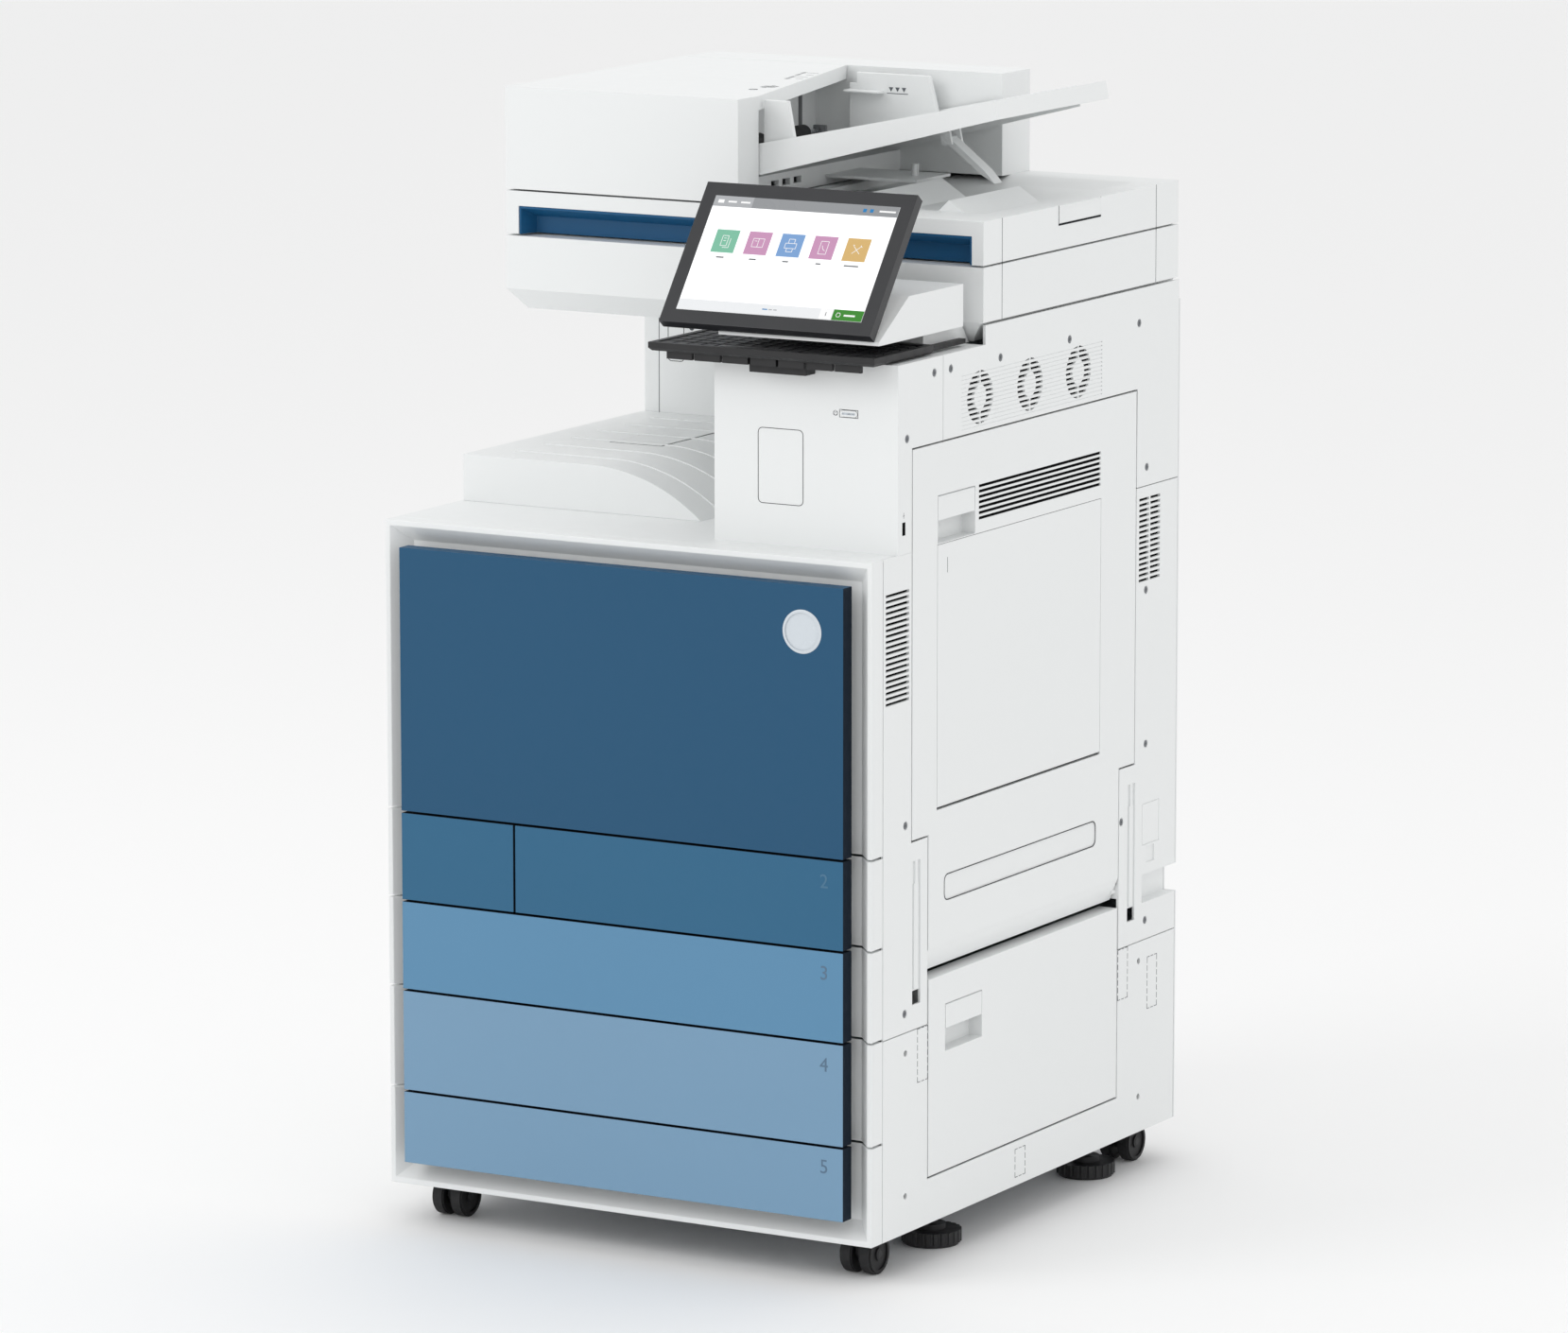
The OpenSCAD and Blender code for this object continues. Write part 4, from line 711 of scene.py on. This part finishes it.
def screen_picture():
    w, h = screen_w * 1000, screen_h * 1000
    on_screen([tile(0, h - 12.5, w, h)], "screen_top_bar", "bar_grey")
    on_screen([tile(0, h - 12.5, 46, h, 0.14)], "screen_top_tab", "tab_grey")
    on_screen([tile(0, 0, w, 12.5)], "screen_foot_bar", "foot_grey")
    on_screen([tile(w - 35, 0, w, 12.5, 0.14)], "screen_start_button", "button_green")
    on_screen([tile(w - 50, 0.6, w - 35.6, 11.9, 0.14)], "screen_count_field", "mark_white")
    tiles = ("tile_green", "tile_pink", "tile_blue", "tile_pink", "tile_amber")
    side, pitch, left, low = 27, 38.6, 16, 69
    white, grey = [], []
    for i, colour in enumerate(tiles):
        u = left + i * pitch
        on_screen([tile(u, low, u + side, low + side)], "screen_tile_%d" % (i + 1), colour)
        caption = (9, 8, 7, 6, 17)[i]
        grey.append(tile(u + side / 2 - caption / 2, low - 6.4, u + side / 2 + caption / 2, low - 4.8, 0.12))
    icons = [
        [[(9, 8), (9, 20), (16, 20), (16, 8), (9, 8)], [(12, 6), (19, 6), (19, 17)],
         [(11, 17), (14, 17)], [(11, 14), (14, 14)]],
        [[(7, 9), (7, 19), (13.5, 19), (13.5, 9), (7, 9)], [(13.5, 19), (20, 19), (20, 9), (13.5, 9)],
         [(9, 16), (12, 16)]],
        [[(7, 10), (7, 16), (20, 16), (20, 10), (7, 10)], [(10, 16), (10, 21), (17, 21), (17, 16)],
         [(10, 10), (10, 6), (17, 6), (17, 10)]],
        [[(9, 6), (9, 21), (18, 21), (18, 6), (9, 6)], [(11.5, 16), (12.5, 13), (14, 11), (16, 10)]],
        [[(9, 9), (18, 18)], [(9, 18), (18, 9)], [(8, 19), (10, 19)], [(17, 19), (19, 17)]],
    ]
    for i, shapes in enumerate(icons):
        u = left + i * pitch
        for shape in shapes:
            white += stroke([(u + x, low + y) for x, y in shape], 0.6)
    white += [tile(5, h - 8.5, 12, h - 4.5, 0.2), tile(17, h - 7.5, 27, h - 5.5, 0.2)]
    white += [tile(32, h - 7.5, 43, h - 5.5, 0.2)]
    white += [tile(w - 22, h - 7.5, w - 3, h - 5.5, 0.2), tile(w - 22, 5, w - 9, 7, 0.2)]
    start_sign = [(30, 4), (27, 4), (26, 6.2), (27, 8.5), (30, 8.5), (31, 6.2), (30, 4)]
    white += stroke([(w - u, v) for u, v in start_sign], 0.6, 0.22)
    grey += stroke([(w - 43, 4), (w - 43, 8.5)], 0.7, 0.22)
    on_screen(white, "screen_white_marks", "mark_white")
    on_screen(grey, "screen_captions", "mark_grey")
    blue = [tile(w / 2 - 9, 6, w / 2 - 3, 7.2, 0.16)]
    blue += [tile(w - u, h - 8.5, w - u + 4, h - 4.5, 0.16) for u in (41, 33)]
    on_screen(blue, "screen_blue_marks", "mark_blue")
    dots = [tile(w / 2 + u, 6, w / 2 + u + 4, 7.2, 0.16) for u in (-1.5, 4)]
    on_screen(dots, "screen_page_dots", "tab_grey")


nodes["display_screen"].data.materials.clear()
nodes["display_screen"].data.materials.append(finish["screen"])
screen_picture()


# ---------- keyboard ----------

def keycaps():
    low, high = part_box("keyboard")
    key_z = high.z - 0.003
    left, front = low.x + 0.0095, low.y + 0.0085
    pitch, cap = 0.0164, 0.0142
    first = slab((left, front, key_z - 0.0002), (left + cap, front + cap, key_z + 0.0026), 0.5, 1)
    edit_faces(first, lambda f: f.normal.z > 0.9)
    bpy.ops.mesh.inset(thickness=0.0012, depth=-0.0003)
    leave_edit()
    rows = []
    for row in range(6):
        for column in range(15):
            if row == 0 and 4 <= column <= 8:
                continue
            if (row, column) != (0, 0):
                rows.append(Vector((column * pitch, row * 0.0174, 0)))
    bar = slab((left + 4 * pitch, front, key_z - 0.0002),
               (left + 8 * pitch + cap, front + cap, key_z + 0.0026), 0.6)
    return hand_over(joined(copied(first, rows) + [bar]), "keycaps", "keyboard", "key_black")


keycaps()


# ---------- lines, marks and small fittings on the fixed covers ----------

column_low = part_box("column_cover")[0]
side_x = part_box("right_upper_cover")[1].x


def column_marks():
    y = column_low.y
    # The dark outline is painted shade in the groove round the card reader.
    card = rounded_outline((x_at(421), y, z_at(799)), (x_at(474), y, z_at(877)), 5, 0.6, 1)
    hand_over(card, "card_reader_outline", "machine", "gap_shade_dark")
    cx, cz = x_at(512), z_at(898)
    ring = []
    steps = 20
    for i in range(steps - 4):
        a = math.radians(90 + 36 + i * 360 / steps)
        b = math.radians(90 + 36 + (i + 1) * 360 / steps)
        p, q = (Vector((cx + 0.0024 * math.cos(t), y, cz + 0.0024 * math.sin(t))) for t in (a, b))
        low = Vector((min(p.x, q.x) - 0.00015, y - HAIR, min(p.z, q.z) - 0.00015))
        high = Vector((max(p.x, q.x) + 0.00015, y + HAIR, max(p.z, q.z) + 0.00015))
        ring.append(slab(low, high, 0))
    ring.append(slab((cx - 0.0002, y - HAIR, cz), (cx + 0.0002, y + HAIR, cz + 0.0032), 0))
    hand_over(joined(ring), "power_mark", "machine", "ink_grey")
    low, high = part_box("power_button")
    # The dark ring is painted shade in the gap round the power button.
    halo = outline((low.x - 0.0009, y - HAIR, low.z - 0.0009),
                   (high.x + 0.0009, y + HAIR, high.z + 0.0009), 0.4, 1)
    hand_over(halo, "power_button_seam", "machine", "gap_shade_dark")
    bar = slab((low.x + 0.0022, low.y - 0.0001, low.z + 0.0018),
               (high.x - 0.0022, low.y + 0.0004, high.z - 0.0018), 0.3)
    edit_faces(bar, lambda f: f.normal.y < -0.9)
    bpy.ops.mesh.inset(thickness=0.0004, depth=-0.0001)
    leave_edit()
    hand_over(bar, "power_button_lamp", "power_button", "badge_white")
    socket = slab((side_x - 0.002, y_at(62), z_at(775.5)), (side_x + 0.0003, y_at(68), z_at(789)), 0.25)
    edit_faces(socket, lambda f: f.normal.x > 0.9)
    bpy.ops.mesh.inset(thickness=0.0009, depth=-0.0002)
    leave_edit()
    hand_over(socket, "usb_socket", "machine", "socket_black_vent_shade")
    x = side_x + 0.0001
    stem = [slab((x - 0.0003, y_at(64.7), z_at(793)), (x, y_at(65.2), z_at(799)), 0),
            slab((x - 0.0003, y_at(63.2), z_at(795.5)), (x, y_at(66.7), z_at(796)), 0)]
    hand_over(joined(stem), "usb_mark", "machine", "ink_grey")


def side_marks():
    """Dashed knock-outs and the outline of the connector flap on the right side."""
    x0, x1 = side_x - HAIR, side_x + HAIR
    places = ((96, 118, 199, 256), (543, 566, 200, 256), (612, 635, 178, 236), (310, 333, 53, 84))
    for i, (y0, y1, z0, z1) in enumerate(places):
        obj = outline((x0, y_at(y0), z_at(z0)), (x1, y_at(y1), z_at(z1)), 0.6, 0, 6, 2.5)
        hand_over(obj, "knock_out_%d" % (i + 1), "machine", "ink_grey")


def lid_seams():
    """Seams and the pull tab on the right side of scanner and lid, with a painted shadow under the tab and
    painted shade in the gaps at its sides.
    """
    low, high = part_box("lid")
    base_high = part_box("scanner_base")[1]
    x0, x1 = high.x - HAIR, high.x + HAIR
    lines, under = [], []
    for y in (273, 620):
        lines.append(slab((x0, y_at(y), low.z + 0.001), (x1, y_at(y + 0.6), z_at(1079)), 0))
        under.append(slab((x0, y_at(y), z_at(974)), (x1, y_at(y + 0.6), base_high.z), 0))
    hand_over(joined(lines), "lid_side_seams", "lid", "ink_grey")
    hand_over(joined(under), "scanner_side_seams", "machine", "ink_grey")
    y0, y1, z0, z1 = y_at(398), y_at(492), z_at(1060), z_at(1079)
    tab = slab((x1 - 0.003, y0, z0), (x1 + 0.0004, y1, z1 - 0.0003), 0.4)
    edit_faces(tab, lambda f: f.normal.x > 0.9)
    bpy.ops.mesh.inset(thickness=0.001, depth=0.0002)
    leave_edit()
    hand_over(tab, "lid_pull_tab", "lid", "off_white_plastic")
    # Painted shadow under the pull tab and painted shade in the gaps beside it.
    shadow = slab((x0, y0 - 0.0006, z0 - 0.0022), (x1, y1 + 0.0006, z0), 0)
    rims = [slab((x0, y0 - 0.0006, z0), (x1, y0, z1), 0), slab((x0, y1, z0), (x1, y1 + 0.0006, z1), 0)]
    hand_over(joined([shadow] + rims), "lid_tab_seam", "lid", "gap_shade_dark")


def tower_marks():
    low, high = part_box("rear_tower")
    y = low.y
    seam = slab((x_at(24), y - HAIR, z_at(760)), (x_at(24.7), y + HAIR, high.z - 0.002), 0)
    hand_over(seam, "tower_seam", "machine", "ink_grey")
    # The dark outline is painted shade in the groove round the plate.
    plate = rounded_outline((x_at(36), y, z_at(864)), (x_at(56), y, z_at(905)), 4, 0.7, 1)
    hand_over(plate, "tower_plate_outline", "machine", "gap_shade_dark")
    mark = drum((x_at(66), y + 0.0004, z_at(902)), (x_at(66), y - 0.0003, z_at(902)), 3, 0.2, 32)
    edit_faces(mark, lambda f: f.normal.y < -0.9)
    bpy.ops.mesh.inset(thickness=0.0006, depth=-0.0002)
    leave_edit()
    hand_over(mark, "tower_lock_mark", "machine", "ink_grey")


def exit_tray_flap():
    top = z_at(806)
    flap = slab((x_at(95), y_at(300), top - 0.002), (x_at(158), y_at(470), top + 0.0008), 0.4)
    edit_faces(flap, lambda f: f.normal.z > 0.9 and f.calc_area() > 0.001)
    bpy.ops.mesh.inset(thickness=0.0015, depth=-0.0003)
    leave_edit()
    hand_over(flap, "exit_tray_flap", "machine", "off_white_plastic")
    # The dark rim is painted shade in the gap round the flap.
    rim = outline((x_at(94), y_at(299), top - HAIR), (x_at(159), y_at(471), top + HAIR), 0.7, 2)
    hand_over(rim, "exit_tray_flap_seam", "machine", "gap_shade_dark")


def rounded_outline(low, high, radius, width, across, lift=0.2):
    """Thin bars round a rectangle with round corners, flat along one axis; sizes in millimetres."""
    low, high = Vector(low), Vector(high)
    u, v = [i for i in range(3) if i != across]
    r = radius * MM
    corners = [(high[u] - r, high[v] - r, 0), (low[u] + r, high[v] - r, 90),
               (low[u] + r, low[v] + r, 180), (high[u] - r, low[v] + r, 270)]
    path = []
    for cu, cv, start in corners:
        for step in range(5):
            angle = math.radians(start + step * 22.5)
            path.append((cu + r * math.cos(angle), cv + r * math.sin(angle)))
    bars = []
    for (u0, v0), (u1, v1) in zip(path, path[1:] + path[:1]):
        along = Vector((u1 - u0, v1 - v0))
        if along.length < 1e-6:
            continue
        bar = slab((0, -width / 2 * MM, -lift * MM), (along.length, width / 2 * MM, lift * MM), 0)
        out = Vector((0, 0, 0))
        out[across] = 1
        first = Vector((0, 0, 0))
        first[u], first[v] = along.x, along.y
        first.normalize()
        place = Vector((0, 0, 0))
        place[u], place[v], place[across] = u0, v0, low[across]
        turn = Matrix((first, out.cross(first), out)).transposed().to_4x4()
        bar.data.transform(Matrix.Translation(place) @ turn)
        bars.append(bar)
    return joined(bars)


def vent_backs():
    """Black plates behind every row of side slots: painted shade, so that the slots read dark and no inner
    part shows through them.
    """
    backs = []
    for y0, y1, z0, z1 in ((28, 77, 602, 721), (586, 609, 650, 745), (612, 635, 650, 745),
                           (198, 256, 869, 927), (307, 365, 869, 927), (415, 473, 869, 927)):
        backs.append(slab((side_x - 0.0045, y_at(y0), z_at(z0)), (side_x - 0.0032, y_at(y1), z_at(z1)), 0))
    hand_over(joined(backs), "side_vent_shade", "machine", "socket_black_vent_shade")
    # The same painted shade behind the slots of the right door.
    door = slab((side_x - 0.0058, y_at(226), z_at(768.5)), (side_x - 0.0012, y_at(495), z_at(808)), 0)
    hand_over(door, "door_vent_shade", "right_door", "socket_black_vent_shade")


def right_door_lines():
    low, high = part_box("bypass_tray")
    x = side_x - 0.0012
    # Painted shade in the gap round the bypass tray.
    gap_line = outline((x - 0.001, low.y - 0.0008, low.z - 0.0006),
                       (x, high.y + 0.0008, high.z + 0.0006), 0.8, 0)
    hand_over(gap_line, "bypass_gap_line", "right_door", "gap_shade_dark")
    # Painted shade in the groove on the right door.
    groove = rounded_outline((side_x, y_at(153), z_at(381)), (side_x, y_at(489), z_at(408)), 7, 0.7, 0)
    hand_over(groove, "door_groove_line", "right_door", "gap_shade_dark")


def slot_floors():
    """Pale floor in each of the two upright slots of the side covers; their lower ends stay open."""
    floors = []
    for y in (85, 564):
        floors.append(slab((side_x - 0.0034, y_at(y - 1), z_at(297)),
                           (side_x - 0.0021, y_at(y + 18), z_at(435)), 0.3))
    hand_over(joined(floors), "side_slot_floors", "machine", "off_white_plastic")


def strip_marks():
    """Little symbols and paper-size lines on top of the feeder cover, beside the mouth."""
    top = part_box("feeder_cover")[1].z
    z0, z1 = top - HAIR, top + 0.0001
    marks = []

    def bar(x0, y0, x1, y1):
        a, b = at(x0, y0, 0), at(x1, y1, 0)
        marks.append(slab((a.x, a.y, z0), (b.x, b.y, z1), 0))

    for i in range(12):
        angle = math.radians(i * 30)
        cx, cy = 253 + 4 * math.cos(angle), 333 + 4 * math.sin(angle)
        bar(cx - 0.9, cy - 0.9, cx + 0.9, cy + 0.9)
    bar(250.6, 332.4, 255.4, 333.6)
    for x0, y0, x1, y1 in ((246, 359, 262, 360.2), (246, 371, 262, 372.2), (246, 359, 247.2, 372),
                           (260.8, 359, 262, 372), (249, 362, 259, 362.9), (249, 365, 259, 365.9),
                           (249, 368, 259, 368.9), (251, 354, 256, 356), (251, 375, 256, 377)):
        bar(x0, y0, x1, y1)
    for y, length in ((452, 9), (470, 14), (492, 9), (512, 14)):
        edge = 292.5 - (y - 276) * 81.5 / 332
        bar(edge - 4 - length, y, edge - 4, y + 0.9)
        bar(edge - 24, y - 6, edge - 20, y + 4)
    hand_over(joined(marks), "feeder_strip_marks", "feeder_cover", "ink_grey")


column_marks()
side_marks()
lid_seams()
tower_marks()
exit_tray_flap()
vent_backs()
right_door_lines()
slot_floors()
strip_marks()


# ---------- document feeder ----------

def feeder_fittings():
    guide_low, guide_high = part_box("rear_guide")
    marks = []
    y, z = guide_low.y + 0.014, guide_high.z - 0.016
    for i in range(3):
        x = guide_low.x + 0.052 + i * 0.008
        bpy.ops.object.select_all(action="DESELECT")
        bpy.ops.mesh.primitive_cylinder_add(vertices=3, radius=0.0032, depth=0.0004)
        arrow = bpy.context.active_object
        arrow.data.transform(Matrix.Translation((x, y, z)) @ Matrix.Rotation(math.radians(90), 4, "X")
                             @ Matrix.Rotation(math.radians(180), 4, "Z"))
        marks.append(arrow)
    marks.append(slab((guide_low.x + 0.047, y - HAIR, z - 0.0055),
                      (guide_low.x + 0.073, y + HAIR, z - 0.0047), 0))
    hand_over(joined(marks), "stack_limit_mark", "rear_guide", "ink_grey")
    roller_x, roller_z = x_at(188), z_at(1119)
    y0, y1 = y_at(300), y_at(590)
    shaft = drum((roller_x, y0, roller_z), (roller_x, y1, roller_z), 3, 0.3, 32)
    hand_over(shaft, "feed_roller_shaft", "lid", "bright_steel")
    rollers = []
    for y in (330, 425, 520):
        a = y_at(y)
        tyre = drum((roller_x, a, roller_z), (roller_x, a + 0.034, roller_z), 10, 0.8, 48)
        rollers.append(tyre)
    hand_over(joined(rollers), "feed_rollers", "lid", "wheel_tread")
    # The roller brackets and wall ribs inside the feeder mouth are grey, a painted shade of the mouth's
    # inside.
    brackets = []
    for y in (296, 588):
        a = y_at(y)
        brackets.append(slab((roller_x - 0.008, a, z_at(1099)),
                             (roller_x + 0.008, a + 0.004, roller_z + 0.006), 0.8))
    hand_over(joined(brackets), "feed_roller_brackets", "lid", "shade_grey")
    ribs = []
    wall_x = x_at(171)
    for i in range(9):
        a = y_at(300 + i * 34)
        ribs.append(slab((wall_x - 0.0005, a, z_at(1102)), (wall_x + 0.004, a + 0.002, z_at(1160)), 0.5))
    hand_over(joined(ribs), "feed_wall_ribs", "lid", "shade_grey")


def lid_underside():
    low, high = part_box("platen_glass")
    lid_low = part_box("lid")[0]
    pad = slab((low.x + 0.04, low.y - 0.004, lid_low.z - 0.0014),
               (high.x + 0.006, high.y + 0.004, lid_low.z + HAIR), 0.6)
    hand_over(pad, "document_pad", "lid", "foam_white")
    axis = joints["lid_hinge"]["pos_m"]
    wall_y = y_at(660)
    for i, x in enumerate((136, 408)):
        left = x_at(x)
        top = axis[2] - 0.009
        foot = slab((left, wall_y - 0.0005, top - 0.034), (left + 0.04, wall_y + 0.0025, top), 1.2)
        screw_z = top - 0.017
        screws = []
        for x in (left + 0.01, left + 0.03):
            screws.append(drum((x, wall_y + 0.002, screw_z), (x, wall_y + 0.0042, screw_z), 3.2, 0.4, 32))
        name = "lid_hinge_foot_%d" % (i + 1)
        hand_over(joined([foot] + screws), name, "machine", "zinc_steel")


feeder_fittings()
lid_underside()


# ---------- back ----------

def rear_ports():
    """Plate with data sockets, low on the rear cover."""
    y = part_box("rear_cover")[1].y
    left = 243
    plate = slab((x_at(left), y - 0.002, z_at(430)), (x_at(left + 100), y + 0.0008, z_at(500)), 0.5)
    edit_faces(plate, lambda f: f.normal.y > 0.9 and f.calc_area() > 0.001)
    bpy.ops.mesh.inset(thickness=0.003, depth=0)
    bpy.ops.mesh.inset(thickness=0.0005, depth=-0.0005)
    leave_edit()
    hand_over(plate, "port_plate", "machine", "shade_grey")
    ports = []
    for dx, z, w, h in ((10, 470, 16, 14), (36, 472, 14, 6.5), (36, 484, 14, 6.5), (62, 470, 12, 11),
                        (10, 444, 30, 9)):
        x = left + dx
        port = slab((x_at(x), y - 0.001, z_at(z)), (x_at(x + w), y + 0.0015, z_at(z + h)), 0.3)
        edit_faces(port, lambda f: f.normal.y > 0.9)
        bpy.ops.mesh.inset(thickness=0.0009, depth=-0.0011)
        leave_edit()
        ports.append(port)
    hand_over(joined(ports), "data_sockets", "machine", "black_plastic")


rear_ports()


# ---------- floor, light and camera ----------

def studio():
    scene = bpy.context.scene
    bpy.ops.object.select_all(action="DESELECT")
    bpy.ops.mesh.primitive_plane_add(size=60, location=(0, 0, 0))
    ground = bpy.context.active_object
    ground.name = "floor"
    paint = bpy.data.materials.new("floor_paint")
    paint.use_nodes = True
    shader = paint.node_tree.nodes["Principled BSDF"]
    shader.inputs["Base Color"].default_value = (0.93, 0.93, 0.93, 1)
    shader.inputs["Roughness"].default_value = 0.7
    ground.data.materials.append(paint)
    world = bpy.data.worlds.new("studio")
    scene.world = world
    world.use_nodes = True
    world.node_tree.nodes["Background"].inputs["Color"].default_value = (1, 1, 1, 1)
    world.node_tree.nodes["Background"].inputs["Strength"].default_value = 0.92
    for name, place, size, power in (("key_light", (-3.2, -4.2, 3.8), 3.0, 62),
                                     ("side_light", (4.5, -1.0, 2.6), 3.0, 8),
                                     ("top_light", (0, 0.5, 4.5), 3.5, 12)):
        data = bpy.data.lights.new(name, "AREA")
        data.size = size
        data.energy = power
        lamp = bpy.data.objects.new(name, data)
        scene.collection.objects.link(lamp)
        lamp.location = place
        lamp.rotation_euler = (Vector((0, 0, 0.6)) - Vector(place)).to_track_quat("-Z", "Y").to_euler()
    data = bpy.data.cameras.new("camera")
    data.lens = 181.33
    data.sensor_width = 36
    data.clip_end = 200
    camera = bpy.data.objects.new("camera", data)
    scene.collection.objects.link(camera)
    back = Vector((0.4914, -0.8534, 0.1738))
    turn = back.to_track_quat("Z", "Y").to_matrix().to_4x4() @ Matrix.Rotation(math.radians(-0.038), 4, "Z")
    camera.matrix_world = Matrix.Translation((4.1459, -7.2043, 2.0408)) @ turn
    scene.camera = camera
    scene.view_settings.view_transform = "Standard"


studio()
